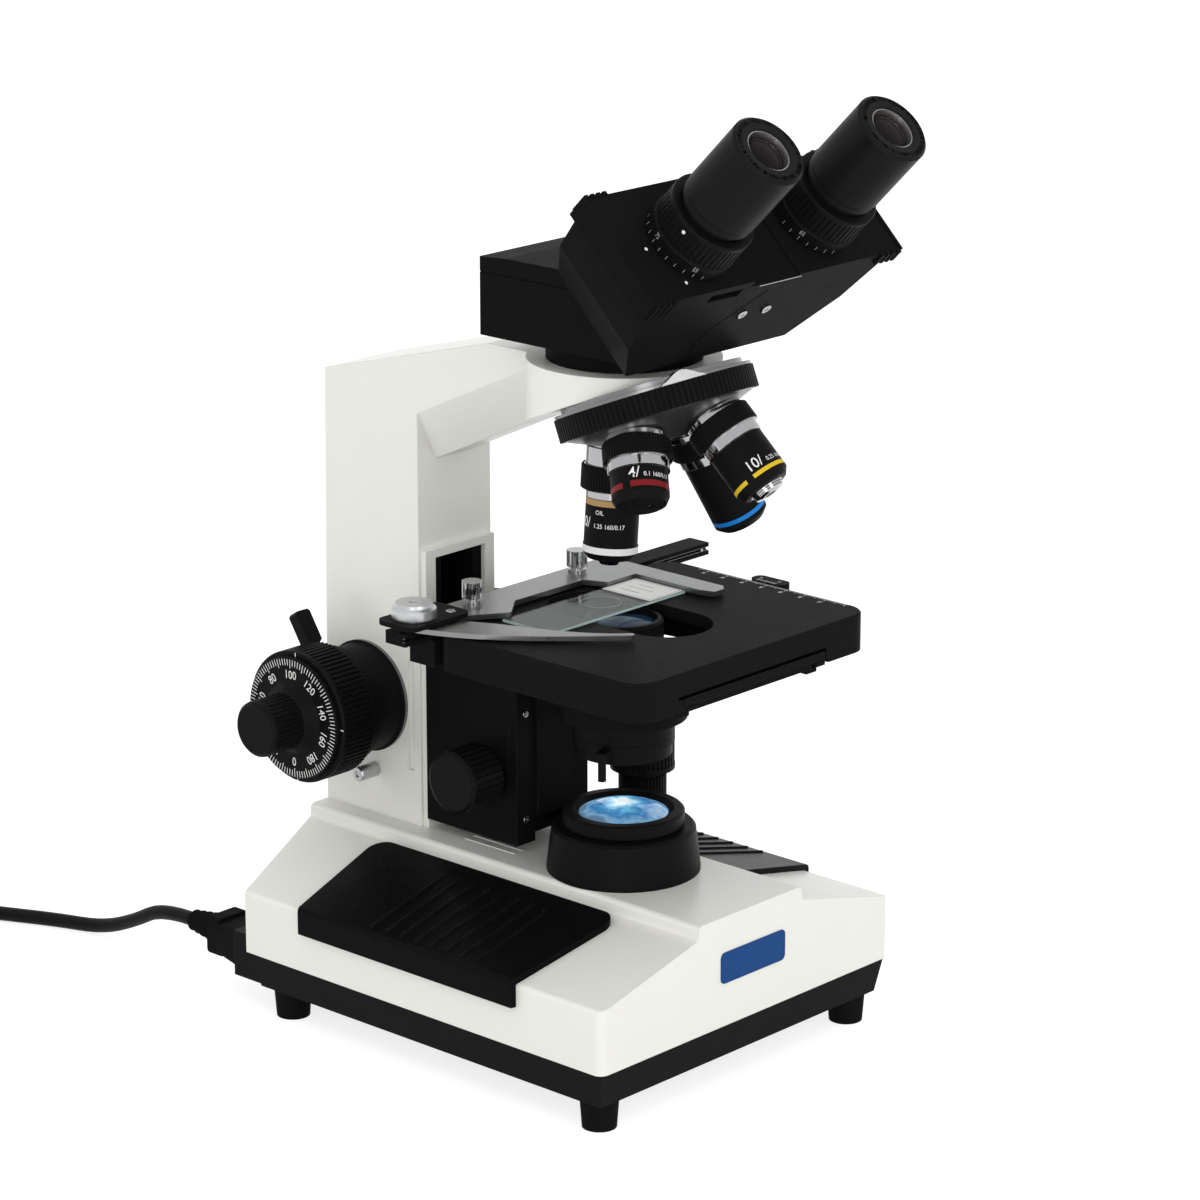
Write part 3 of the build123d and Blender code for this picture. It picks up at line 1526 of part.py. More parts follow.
def coil_point(angle):
    """Point on the coil's centre line."""
    radius, height = coil_state(angle)
    turn = radians(coil_start) + angle
    return Vector(coil_x + radius * cos(turn), coil_y + radius * sin(turn), height)


def coil_tangent(angle):
    """Direction of the coil's centre line."""
    step = 0.02
    low = max(angle - step, 0)
    return (coil_point(angle + step) - coil_point(low)).normalized()


def biarc(start, start_dir, end, end_dir):
    """Two arcs that meet smoothly between two points with given directions."""
    chord = end - start
    both = start_dir + end_dir
    spread = 2 * (1 - start_dir.dot(end_dir))
    along = chord.dot(both)
    reach = (sqrt(along * along + spread * chord.dot(chord)) - along) / spread
    middle = (start + end + (start_dir - end_dir) * reach) * 0.5
    first = TangentArc(start, middle, tangent=start_dir)
    second = TangentArc(middle, end, tangent=end_dir * -1, tangent_from_first=False)
    return [first, second]


def coil_path():
    """The coil's centre line as quarter-turn biarcs."""
    edges = [Line(coil_entry(), coil_point(0))]
    for quarter in range(coil_quarters):
        a = quarter * pi / 2
        b = a + pi / 2
        edges += biarc(coil_point(a), coil_tangent(a), coil_point(b), coil_tangent(b))
    last, plug, _ = coil_end()
    edges.append(Line(last, plug))
    return Wire([edge.edge() for edge in edges])


def coil_gap():
    """Least gap between the coil's turns, measured on points of its centre line."""
    points = [coil_point(k * pi / 36) for k in range(coil_quarters * 18 + 1)]
    near = 30
    least = min(
        (points[i] - points[j]).length for i in range(len(points)) for j in range(i + near, len(points))
    )
    return least - cord_diameter


def power_cord():
    """Free tube from the strain relief to the coil."""
    route = cord_route()
    path = FilletPolyline(*route, radius=corner_radii(route))
    return sweep(Plane(path @ 0, z_dir=path % 0) * Circle(cord_radius), path)


def cord_coil():
    path = coil_path()
    return sweep(Plane(path @ 0, z_dir=path % 0) * Circle(cord_radius), path)


def power_plug():
    """Mains plug at the end of the coil's last turn."""
    _, start, direction = coil_end()
    place = Plane(start, x_dir=(0, 0, 1), z_dir=direction).location
    r = mains_plug_radius
    relief = 2 * mains_plug_radius
    face = relief + mains_plug_length
    body = turned([
        (0, 0), (cord_radius + 1.2, 0), (cord_radius + 2.4, relief - 3), (r - 1.5, relief), (r, relief + 2),
        (r, face - 1), (r - 1, face), (0, face),
    ])
    for y in (-mains_blade_gap / 2, mains_blade_gap / 2):
        body += block(-3.1, 3.1, y - 0.8, y + 0.8, face - 1, face + mains_blade_length)
    return place * body


nodes = {
    "base_casting": base_casting, "bottom_tray": bottom_tray, "rubber_feet": rubber_feet,
    "hand_rests": hand_rests, "lamp_collar": lamp_collar, "lamp_lens_ring": lamp_lens_ring,
    "lamp_lens": lamp_lens, "led_module": led_module, "mains_inlet": mains_inlet,
    "power_switch": power_switch, "brightness_dial": brightness_dial, "arm_casting": arm_casting,
    "focus_guide": focus_guide, "focus_bushes": focus_bushes, "tension_lever": tension_lever,
    "coarse_shaft": coarse_shaft, "coarse_knob_left": coarse_knob_left,
    "coarse_knob_right": coarse_knob_right, "fine_shaft": fine_shaft, "fine_knob_left": fine_knob_left,
    "fine_knob_right": fine_knob_right,
    "focus_carriage": focus_carriage, "carriage_gibs": carriage_gibs, "stage_base_plate": stage_base_plate,
    "stage_top_plate": stage_top_plate, "y_vernier": y_vernier, "x_guide": x_guide, "x_bar": x_bar,
    "slide_holder": slide_holder, "holder_thumbscrews": holder_thumbscrews,
    "specimen_slide": specimen_slide, "holder_bracket": holder_bracket, "slide_finger": slide_finger,
    "stage_y_knob": stage_y_knob,
    "stage_x_knob": stage_x_knob, "condenser_carrier": condenser_carrier, "condenser_body": condenser_body,
    "condenser_lens": condenser_lens, "condenser_knob": condenser_knob, "iris_lever": iris_lever,
    "filter_holder": filter_holder, "nosepiece_seat": nosepiece_seat, "nosepiece_turret": nosepiece_turret,
    "nosepiece_grip": nosepiece_grip, "objective_4x": objective_4x, "objective_10x": objective_10x,
    "objective_40x": objective_40x, "objective_100x": objective_100x, "head_housing": head_housing,
    "head_clamp_screw": head_clamp_screw, "head_plate_left": head_plate_left,
    "head_plate_right": head_plate_right, "diopter_ring_left": lambda: diopter_ring(-1),
    "diopter_ring_right": lambda: diopter_ring(1), "eyepiece_left": lambda: eyepiece(-1),
    "eyepiece_right": lambda: eyepiece(1), "power_connector": power_connector, "power_cord": power_cord,
    "cord_coil": cord_coil, "power_plug": power_plug,
}


def main():
    os.makedirs("parts", exist_ok=True)
    for name, make in nodes.items():
        export_step(make(), f"parts/{name}.step")
    print("cord corner radii", [round(radius, 1) for radius in corner_radii(cord_route())])
    print("least gap in the coil", round(coil_gap(), 2))


main()
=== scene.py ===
"""Looks of a binocular compound microscope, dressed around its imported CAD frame.

In the part's own frame: +X is to the user's right, -Y is towards the user, +Z is up. Places and sizes are in
millimetres, except the cord's length, the floor and the lamps, which are in metres.
"""

import math

import bmesh
import bpy
from mathutils import Matrix, Vector


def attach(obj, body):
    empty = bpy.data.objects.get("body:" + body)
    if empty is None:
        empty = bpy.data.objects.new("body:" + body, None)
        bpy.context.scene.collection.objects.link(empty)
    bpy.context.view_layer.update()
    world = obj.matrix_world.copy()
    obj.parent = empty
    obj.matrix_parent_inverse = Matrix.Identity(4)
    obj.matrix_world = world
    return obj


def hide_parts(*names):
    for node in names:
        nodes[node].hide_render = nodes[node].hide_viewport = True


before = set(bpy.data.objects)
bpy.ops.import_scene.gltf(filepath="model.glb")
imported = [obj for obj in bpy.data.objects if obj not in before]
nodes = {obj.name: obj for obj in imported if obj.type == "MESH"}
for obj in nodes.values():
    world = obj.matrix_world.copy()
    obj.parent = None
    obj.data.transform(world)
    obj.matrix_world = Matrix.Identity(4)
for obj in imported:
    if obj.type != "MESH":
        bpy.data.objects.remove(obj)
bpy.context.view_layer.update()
MM = 0.001


def mm(*values):
    """A point given in millimetres."""
    return Vector(values) * MM


def at(x, y, z):
    """Placement at a point given in millimetres."""
    return Matrix.Translation(mm(x, y, z))


def turn(degrees, axis):
    """Rotation about one of the main axes."""
    return Matrix.Rotation(math.radians(degrees), 4, axis)


# Camera, as solved from the photograph
VIEW_AZIMUTH = -47.516
VIEW_ELEVATION = 16.585
CAMERA_PLACE = mm(-1205.3, -1125.3, 664.4)
CAMERA_LENS = 132.0
CAMERA_SENSOR = 36.0


def make_camera():
    """Camera with the solved place, direction and lens."""
    data = bpy.data.cameras.new("camera")
    data.lens = CAMERA_LENS
    data.sensor_width = CAMERA_SENSOR
    data.clip_start = 0.05
    data.clip_end = 50.0
    camera = bpy.data.objects.new("camera", data)
    bpy.context.scene.collection.objects.link(camera)
    azimuth = math.radians(VIEW_AZIMUTH)
    elevation = math.radians(VIEW_ELEVATION)
    back = Vector((
        math.sin(azimuth) * math.cos(elevation),
        -math.cos(azimuth) * math.cos(elevation),
        math.sin(elevation),
    ))
    camera.location = CAMERA_PLACE
    camera.rotation_mode = "QUATERNION"
    camera.rotation_quaternion = (-back).to_track_quat("-Z", "Y")
    bpy.context.scene.camera = camera


# Materials

def start_material(name):
    """A new material with its node tree and its main shader."""
    made = bpy.data.materials.new(name)
    made.use_nodes = True
    tree = made.node_tree
    return made, tree, tree.nodes["Principled BSDF"]


def add_node(tree, kind, **settings):
    """A node with settings: plain names are attributes, names with a capital are input sockets."""
    node = tree.nodes.new(kind)
    for key, value in settings.items():
        if key[0].isupper():
            node.inputs[key.replace("_", " ")].default_value = value
        else:
            setattr(node, key, value)
    return node


def object_noise(tree, scale, detail=3.0, stretch=None):
    """Noise in the part's own coordinates, stretched along an axis for brushed or drawn metal."""
    place = add_node(tree, "ShaderNodeTexCoord").outputs["Object"]
    if stretch:
        mapping = add_node(tree, "ShaderNodeMapping", Scale=stretch)
        tree.links.new(place, mapping.inputs["Vector"])
        place = mapping.outputs["Vector"]
    noise = add_node(tree, "ShaderNodeTexNoise", Scale=scale, Detail=detail, Roughness=0.6)
    tree.links.new(place, noise.inputs["Vector"])
    return noise.outputs["Fac"]


def spread(tree, source, low, high):
    """Maps noise, which keeps near its middle, on to a range of values."""
    ranged = add_node(tree, "ShaderNodeMapRange", From_Min=0.3, From_Max=0.7, To_Min=low, To_Max=high)
    tree.links.new(source, ranged.inputs["Value"])
    return ranged.outputs["Result"]


def mixed(tree, factor, first, second):
    """Colour between two colours or colour outputs."""
    mix = add_node(tree, "ShaderNodeMix", data_type="RGBA")
    tree.links.new(factor, mix.inputs["Factor"])
    for name, value in (("A", first), ("B", second)):
        socket = next(s for s in mix.inputs if s.name == name and s.type == "RGBA")
        if isinstance(value, tuple):
            socket.default_value = (*value, 1.0)
        else:
            tree.links.new(value, socket)
    return next(s for s in mix.outputs if s.type == "RGBA")


def shade(colour, factor):
    """A colour made darker or lighter."""
    return tuple(min(1.0, c * factor) for c in colour)


DRIFT_SCALE = 45.0
PATCH_SCALE = 220.0
GLOSS_SCALE = 130.0
RELIEF_DEPTH = 0.12
COAT_ROUGHNESS = 0.12


def surface(name, colour, rough, metal=0.0, grain=1500.0, bump=0.15, vary=0.12, edge=0.35,
            edge_wear_and_glint=None, specular=0.5, coat=0.0, stretch=None):
    """A finish with colour drift, uneven gloss, fine grain, softened edges, and corners in a lighter edge
    colour: partly rubbed wear, partly a painted highlight along the edges.
    """
    made, tree, shader = start_material(name)
    shader.inputs["Metallic"].default_value = metal
    shader.inputs["Specular IOR Level"].default_value = specular
    if coat:
        shader.inputs["Coat Weight"].default_value = coat
        shader.inputs["Coat Roughness"].default_value = COAT_ROUGHNESS
    drift = object_noise(tree, DRIFT_SCALE, 4.0)
    tone = mixed(tree, drift, shade(colour, 1 - vary), shade(colour, 1 + vary))
    soft = add_node(tree, "ShaderNodeBevel", samples=4, Radius=edge * MM)
    # Lighter corners: partly rubbed wear, partly a painted highlight along edges.
    if edge_wear_and_glint:
        geometry = add_node(tree, "ShaderNodeNewGeometry")
        agree = add_node(tree, "ShaderNodeVectorMath", operation="DOT_PRODUCT")
        tree.links.new(soft.outputs["Normal"], agree.inputs[0])
        tree.links.new(geometry.outputs["Normal"], agree.inputs[1])
        corner = add_node(tree, "ShaderNodeMapRange", From_Min=0.80, From_Max=0.97, To_Min=1.0, To_Max=0.0)
        tree.links.new(agree.outputs["Value"], corner.inputs["Value"])
        patch = spread(tree, object_noise(tree, PATCH_SCALE), 0.0, 0.8)
        worn_and_glinting = add_node(tree, "ShaderNodeMath", operation="MULTIPLY")
        tree.links.new(corner.outputs["Result"], worn_and_glinting.inputs[0])
        tree.links.new(patch, worn_and_glinting.inputs[1])
        tone = mixed(tree, worn_and_glinting.outputs["Value"], tone, edge_wear_and_glint)
    tree.links.new(tone, shader.inputs["Base Color"])
    uneven = spread(tree, object_noise(tree, GLOSS_SCALE), rough * (1 - vary), rough * (1 + vary))
    tree.links.new(uneven, shader.inputs["Roughness"])
    relief = add_node(tree, "ShaderNodeBump", Strength=bump, Distance=RELIEF_DEPTH * MM)
    tree.links.new(object_noise(tree, grain, 2.0, stretch), relief.inputs["Height"])
    tree.links.new(soft.outputs["Normal"], relief.inputs["Normal"])
    tree.links.new(relief.outputs["Normal"], shader.inputs["Normal"])
    return made


SMEAR = 0.04


def clear_glass(name, tint, ior=1.5):
    """Clear glass with faint smears on its surface."""
    made, tree, shader = start_material(name)
    shader.inputs["Base Color"].default_value = (*tint, 1.0)
    shader.inputs["Transmission Weight"].default_value = 1.0
    shader.inputs["IOR"].default_value = ior
    smear = spread(tree, object_noise(tree, 90.0), 0.0, SMEAR)
    tree.links.new(smear, shader.inputs["Roughness"])
    return made


def dark_lens(name, deep, sheen_colour, specular):
    """Coated lens over a dark tube: deep colour as painted shade of the tube seen through the glass, glossy,
    with a painted sheen towards its edge as it turns from the camera.
    """
    made, tree, shader = start_material(name)
    facing = add_node(tree, "ShaderNodeLayerWeight", Blend=0.35)
    # Painted sheen: lighter colour where the lens turns away from the camera.
    painted_sheen = mixed(tree, facing.outputs["Facing"], deep, sheen_colour)
    tree.links.new(painted_sheen, shader.inputs["Base Color"])
    shader.inputs["Specular IOR Level"].default_value = specular
    tree.links.new(spread(tree, object_noise(tree, 120.0), 0.02, 0.06), shader.inputs["Roughness"])
    return made


STREAK_REACH = 4.5
GLOW_REACH = 18.0
GLOW_STRENGTH = 0.9


def lit_lens(name, centre):
    """Field lens with the lamp on: white middle, blue round it, paler edge, with soft streaks."""
    made, tree, shader = start_material(name)
    place = add_node(tree, "ShaderNodeTexCoord")
    away = add_node(tree, "ShaderNodeVectorMath", operation="DISTANCE")
    away.inputs[1].default_value = centre
    tree.links.new(place.outputs["Object"], away.inputs[0])
    streak = spread(tree, object_noise(tree, 110.0, 2.0), -STREAK_REACH * MM, STREAK_REACH * MM)
    ragged = add_node(tree, "ShaderNodeMath", operation="ADD")
    tree.links.new(away.outputs["Value"], ragged.inputs[0])
    tree.links.new(streak, ragged.inputs[1])
    reach = add_node(tree, "ShaderNodeMapRange", From_Min=0.0, From_Max=GLOW_REACH * MM)
    tree.links.new(ragged.outputs["Value"], reach.inputs["Value"])
    ramp = add_node(tree, "ShaderNodeValToRGB")
    stops = ramp.color_ramp.elements
    stops[0].position = 0.10
    stops[0].color = (0.80, 0.96, 1.0, 1.0)
    stops[1].position = 0.98
    stops[1].color = (0.10, 0.20, 0.32, 1.0)
    for position, colour in (
        (0.30, (0.16, 0.52, 0.78, 1.0)), (0.55, (0.03, 0.18, 0.44, 1.0)), (0.80, (0.20, 0.40, 0.58, 1.0)),
    ):
        stops.new(position).color = colour
    tree.links.new(reach.outputs["Result"], ramp.inputs["Fac"])
    tree.links.new(ramp.outputs["Color"], shader.inputs["Emission Color"])
    shader.inputs["Emission Strength"].default_value = GLOW_STRENGTH
    shader.inputs["Base Color"].default_value = (0.02, 0.03, 0.05, 1.0)
    shader.inputs["Specular IOR Level"].default_value = 0.7
    tree.links.new(spread(tree, object_noise(tree, 150.0), 0.02, 0.07), shader.inputs["Roughness"])
    return made


WHITE_ENAMEL = surface("white_enamel", (0.80, 0.80, 0.745), 0.34, grain=900.0, bump=0.10, vary=0.02,
                       edge=0.6, coat=0.15)
BLACK_ENAMEL = surface("black_enamel", (0.0065, 0.0065, 0.0068), 0.42, grain=2600.0, bump=0.18, vary=0.05,
                       edge_wear_and_glint=(0.03, 0.03, 0.03), specular=0.035)
HEAD_BLACK = surface("head_black", (0.0078, 0.0078, 0.0081), 0.42, grain=2600.0, bump=0.18, vary=0.05,
                     edge_wear_and_glint=(0.03, 0.03, 0.03), specular=0.008)
BARREL_BLACK = surface("barrel_black", (0.0085, 0.0085, 0.0090), 0.38, grain=2600.0, bump=0.12, vary=0.05,
                       edge_wear_and_glint=(0.03, 0.03, 0.03), specular=0.05)
STAGE_BLACK = surface("stage_black", (0.0075, 0.0075, 0.008), 0.42, grain=2000.0, bump=0.10, vary=0.04,
                      edge=0.5, edge_wear_and_glint=(0.045, 0.045, 0.045), specular=0.014)
BLACK_PLASTIC = surface("black_plastic", (0.0055, 0.0055, 0.0058), 0.44, grain=1700.0, bump=0.18, vary=0.05,
                        edge_wear_and_glint=(0.028, 0.028, 0.028), specular=0.05)
REST_PLASTIC = surface("rest_plastic", (0.0045, 0.0045, 0.0045), 0.28, grain=1300.0, bump=0.08, vary=0.05,
                       edge=0.7, edge_wear_and_glint=(0.025, 0.025, 0.025), specular=0.025)
BLACK_RUBBER = surface("black_rubber", (0.006, 0.006, 0.006), 0.75, grain=900.0, bump=0.35, specular=0.04)
TRAY_BLACK = surface("tray_black", (0.0075, 0.0075, 0.0075), 0.55, grain=1500.0, bump=0.35, vary=0.06,
                     edge_wear_and_glint=(0.03, 0.03, 0.03), specular=0.04)
CORD_BLACK = surface("cord_black", (0.005, 0.005, 0.005), 0.46, grain=700.0, bump=0.08, specular=0.10)
# Painted shade: near-black with no gloss, laid on gaps and grooves where shade falls.
PAINTED_SHADE_BLACK = surface("painted_shade_black", (0.0012, 0.0012, 0.0012), 0.9, bump=0.05, edge=0.05, specular=0.0)
CHROME = surface("bright_chrome", (0.40, 0.40, 0.41), 0.09, metal=1.0, grain=500.0, bump=0.02, vary=0.05,
                 edge=0.25)
ALUMINIUM = surface("satin_aluminium", (0.52, 0.53, 0.54), 0.34, metal=1.0, grain=420.0, bump=0.16,
                    vary=0.08, edge=0.3, stretch=(0.25, 4.0, 4.0))
GROUND_STEEL = surface("ground_steel", (0.235, 0.24, 0.24), 0.30, metal=1.0, grain=500.0, bump=0.14,
                       vary=0.1, edge=0.25, stretch=(4.0, 0.3, 4.0))
SEAT_STEEL = surface("seat_steel", (0.20, 0.20, 0.205), 0.26, metal=1.0, grain=700.0, bump=0.06, vary=0.06,
                     edge=0.25)
LENS_RIM = surface("lens_rim", (0.34, 0.33, 0.32), 0.22, metal=0.9, bump=0.05, vary=0.08, edge=0.1)
TURRET_SATIN = surface("turret_satin", (0.17, 0.17, 0.175), 0.33, metal=0.9, grain=1800.0, bump=0.12,
                       vary=0.1)
GLASS = clear_glass("slide_glass", (0.88, 0.97, 0.95), ior=1.12)
# Lenses in painted shade of their dark tubes, with a painted sheen at their edges.
EYE_LENS = dark_lens("eye_lens", (0.003, 0.0025, 0.0025), (0.02, 0.016, 0.015), 0.06)
CONDENSER_GLASS = dark_lens("condenser_glass", (0.003, 0.010, 0.026), (0.02, 0.06, 0.13), 0.09)
WHITE_MARK = surface("white_mark", (0.80, 0.80, 0.78), 0.6, bump=0.05, vary=0.08, edge=0.02)
DIM_MARK = surface("dim_mark", (0.34, 0.34, 0.35), 0.6, bump=0.05, vary=0.08, edge=0.02)
# Painted highlight: pale green-white for the slide's edges, partly the glass's own green edge colour, partly
# the light caught along them.
GLASS_EDGE_HIGHLIGHT = surface("glass_edge_highlight", (0.46, 0.60, 0.58), 0.25, bump=0.05, vary=0.15, edge=0.05)
PAPER = surface("label_paper", (0.80, 0.80, 0.78), 0.8, grain=1200.0, bump=0.2, vary=0.05, edge=0.05)
RULE_INK = surface("rule_ink", (0.16, 0.16, 0.17), 0.8, bump=0.05, edge=0.02)
BADGE_BLUE = surface("badge_blue", (0.003, 0.052, 0.205), 0.34, grain=800.0, bump=0.04, vary=0.08, edge=0.2,
                     specular=0.1)
# Red darkened to the shade the band sits in: partly its own dark red, partly painted shade.
BAND_RED_SHADED = surface("band_red_shaded", (0.19, 0.010, 0.012), 0.4, bump=0.05, edge=0.05, specular=0.12)
BAND_YELLOW = surface("band_yellow", (0.72, 0.50, 0.02), 0.4, bump=0.05, edge=0.05, specular=0.12)
BAND_BLUE = surface("band_blue", (0.012, 0.20, 0.62), 0.4, bump=0.05, edge=0.05, specular=0.12)
BAND_TAN = surface("band_tan", (0.42, 0.27, 0.12), 0.4, bump=0.05, edge=0.05, specular=0.12)
# White band paint; also used for the painted reflection lines on the plateau.
BAND_WHITE = surface("band_white", (0.75, 0.75, 0.74), 0.4, bump=0.05, edge=0.05, specular=0.12)
FILTER_BLUE = clear_glass("filter_blue", (0.25, 0.5, 0.9))


def paint(name, *finishes, rule=None):
    """Gives a CAD node its finishes; a rule picks one for each face from its centre and normal."""
    mesh = nodes[name].data
    mesh.materials.clear()
    for finish in finishes:
        mesh.materials.append(finish)
    for face in mesh.polygons:
        face.material_index = rule(face.center / MM, face.normal) if rule else 0


# Mesh building

def link_mesh(name, mesh_data, finish, body):
    """Puts a finished bmesh into the scene, riding on a body of the frame."""
    mesh = bpy.data.meshes.new(name)
    bmesh.ops.recalc_face_normals(mesh_data, faces=mesh_data.faces)
    mesh_data.to_mesh(mesh)
    mesh_data.free()
    mesh.materials.append(finish)
    piece = bpy.data.objects.new(name, mesh)
    bpy.context.scene.collection.objects.link(piece)
    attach(piece, body)
    return piece


def add_slab(mesh, place, size):
    """Adds a box of a size in millimetres, centred on a placement."""
    bmesh.ops.create_cube(mesh, size=1.0, matrix=place @ Matrix.Diagonal((*(s * MM for s in size), 1.0)))


def add_turned(mesh, place, profile, sides=48):
    """Adds a solid of revolution about local Z, from (radius, height) points in millimetres."""
    rings = []
    for radius, height in profile:
        if radius == 0:
            rings.append([mesh.verts.new(place @ mm(0, 0, height))])
            continue
        ring = []
        for side in range(sides):
            angle = 2 * math.pi * side / sides
            point = mm(radius * math.cos(angle), radius * math.sin(angle), height)
            ring.append(mesh.verts.new(place @ point))
        rings.append(ring)
    for low, high in zip(rings, rings[1:]):
        for side in range(sides):
            after = (side + 1) % sides
            corners = [
                low[side % len(low)], low[after % len(low)],
                high[after % len(high)], high[side % len(high)],
            ]
            mesh.faces.new(list(dict.fromkeys(corners)))


def facing(azimuth):
    """Rotation of an upright flat mark: 0 faces the user, 90 the right, 180 the back, -90 the left."""
    return turn(azimuth, "Z") @ turn(90.0, "X")


SHARP_ANGLE = 35.0


def smooth(piece):
    """Smooth shading that keeps the sharper edges."""
    piece.data.shade_smooth()
    piece.data.set_sharp_from_angle(angle=math.radians(SHARP_ANGLE))
    return piece


def turned_piece(name, body, finish, place, profile, sides=48):
    """One piece turned about a placement's Z axis, with smooth shading."""
    mesh = bmesh.new()
    add_turned(mesh, place, profile, sides)
    return smooth(link_mesh(name, mesh, finish, body))


def slab_piece(name, body, finish, slabs):
    """One piece of many small boxes, each a placement and a size."""
    mesh = bmesh.new()
    for place, size in slabs:
        add_slab(mesh, place, size)
    return link_mesh(name, mesh, finish, body)


def add_recessed_disc(mesh, place, outline, recess, height, depth):
    """Adds a disc of a plan outline with a sunk recess in its top, both lists of (x, y) points."""
    def ring(points, z):
        """Points of an outline at a height."""
        return [mesh.verts.new(place @ mm(x, y, z)) for x, y in points]

    def walls(low, high):
        """Faces between two rings of as many points."""
        for i, vertex in enumerate(low):
            after = (i + 1) % len(low)
            mesh.faces.new([vertex, low[after], high[after], high[i]])

    foot = ring(outline, 0)
    rim = ring([(0.9 * x, 0.9 * y) for x, y in outline], height)
    shoulder = ring(outline, 0.7 * height)
    mouth = ring(recess, height)
    floor = ring(recess, height - depth)
    walls(foot, shoulder)
    walls(shoulder, rim)
    walls(mouth, floor)
    mesh.faces.new(floor)
    mesh.faces.new(foot)
    loops = []
    for loop in (rim, mouth):
        for i, vertex in enumerate(loop):
            after = loop[(i + 1) % len(loop)]
            loops.append(mesh.edges.get((vertex, after)) or mesh.edges.new((vertex, after)))
    bmesh.ops.triangle_fill(mesh, edges=loops, use_beauty=True)


SCREW_SIDES = 24


def circle_points(radius):
    """Outline of a round head."""
    angles = [2 * math.pi * i / SCREW_SIDES for i in range(SCREW_SIDES)]
    return [(radius * math.cos(angle), radius * math.sin(angle)) for angle in angles]


def cross_points(reach, width):
    """Outline of a cross-head recess."""
    w = width / 2
    return [
        (reach, -w), (reach, w), (w, w), (w, reach), (-w, reach), (-w, w),
        (-reach, w), (-reach, -w), (-w, -w), (-w, -reach), (w, -reach), (w, -w),
    ]


def slot_points(reach, width):
    """Outline of a screwdriver slot."""
    return [(reach, -width / 2), (reach, width / 2), (-reach, width / 2), (-reach, -width / 2)]


def screws(name, body, places, radius, height=0.9, finish=None, slotted=False):
    """Screw heads at several placements, with a cross or a slot."""
    mesh = bmesh.new()
    recess = cross_points(0.62 * radius, 0.26 * radius)
    if slotted:
        recess = slot_points(0.8 * radius, 0.28 * radius)
    for place in places:
        add_recessed_disc(mesh, place, circle_points(radius), recess, height, 0.6 * height)
    return link_mesh(name, mesh, finish or CHROME, body)


DOT_HEIGHT = 0.1


def dots(name, body, finish, places, radius):
    """Small round marks."""
    profile = [(0, -DOT_HEIGHT), (radius, -DOT_HEIGHT), (radius, DOT_HEIGHT), (0, DOT_HEIGHT)]
    mesh = bmesh.new()
    for place in places:
        add_turned(mesh, place, profile, 16)
    return link_mesh(name, mesh, finish, body)


def rounded_slab(name, body, finish, place, size, corner):
    """Flat plate with round corners in the placement's XY plane, standing on it."""
    width, depth, height = size
    outline = []
    for sx, sy, start in ((1, 1, 0), (-1, 1, 90), (-1, -1, 180), (1, -1, 270)):
        for step in range(6):
            angle = math.radians(start + 18 * step)
            outline.append((
                sx * (width / 2 - corner) + corner * math.cos(angle),
                sy * (depth / 2 - corner) + corner * math.sin(angle),
            ))
    mesh = bmesh.new()
    bottom, top = [[mesh.verts.new(place @ mm(x, y, z)) for x, y in outline] for z in (0, height)]
    for i in range(len(outline)):
        after = (i + 1) % len(outline)
        mesh.faces.new([bottom[i], bottom[after], top[after], top[i]])
    mesh.faces.new(top)
    mesh.faces.new(bottom)
    return smooth(link_mesh(name, mesh, finish, body))


LETTER_WEIGHT = 0.005


def text_mesh(words, size, align):
    """Letters of a size in millimetres as a flat mesh in the local XY plane."""
    curve = bpy.data.curves.new("letters", "FONT")
    curve.body = words
    curve.size = size * MM
    curve.align_x = align
    curve.align_y = "CENTER"
    curve.resolution_u = 3
    curve.offset = LETTER_WEIGHT * size * MM
    maker = bpy.data.objects.new("letters", curve)
    bpy.context.scene.collection.objects.link(maker)
    bpy.context.view_layer.update()
    flat = bpy.data.meshes.new_from_object(maker.evaluated_get(bpy.context.evaluated_depsgraph_get()))
    bpy.data.objects.remove(maker)
    bpy.data.curves.remove(curve)
    return flat


INK_HEIGHT = 0.06


def add_words(mesh, words, size, place, wrap=None, narrow=1.0, align="CENTER"):
    """Adds printed words on a placement's XY plane, or wrapped round its Z axis at a radius."""
    flat = text_mesh(words, size, align)
    start = len(mesh.verts)
    mesh.from_mesh(flat)
    bpy.data.meshes.remove(flat)
    mesh.verts.ensure_lookup_table()
    for vertex in mesh.verts[start:]:
        x, y = vertex.co.x * narrow, vertex.co.y
        if wrap:
            radius = (wrap + INK_HEIGHT) * MM
            angle = x / radius
            vertex.co = place @ Vector((radius * math.sin(angle), -radius * math.cos(angle), y))
        else:
            vertex.co = place @ Vector((x, y, INK_HEIGHT * MM))


def words_piece(name, body, finish, items):
    """One piece of printed words: (words, size, placement) or with a wrap radius."""
    mesh = bmesh.new()
    for item in items:
        add_words(mesh, *item)
    return link_mesh(name, mesh, finish, body)


# Power cord: the route of the CAD part, then a round coil in two layers

CORD_DIAMETER = 6.0
CORD_EXIT = (-66.0, 145.1, 21.6)
CORD_ROUTE = [
    (-66.0, 164.0, 21.6),
    (-65.4, 182.0, 11.4),
    (-66.0, 202.0, 3.4),
    (-73.0, 224.0, 3.2),
    (-84.0, 247.0, 3.2),
    (-92.765, 266.44, 3.2),
    (-104.405, 285.109, 3.2),
]
COIL_CENTRE = (-151.4, 264.9)
COIL_RADIUS = 37.3
COIL_PITCH = 7.6
COIL_LAYER = 6.5
COIL_LOW = 3.2
COIL_TURNS = 7.5
COIL_START = 30.0
COIL_STEPS = 24
COIL_CLIMB = 0.5
PLUG_PLACE = (-187.554, 225.556, 9.7)


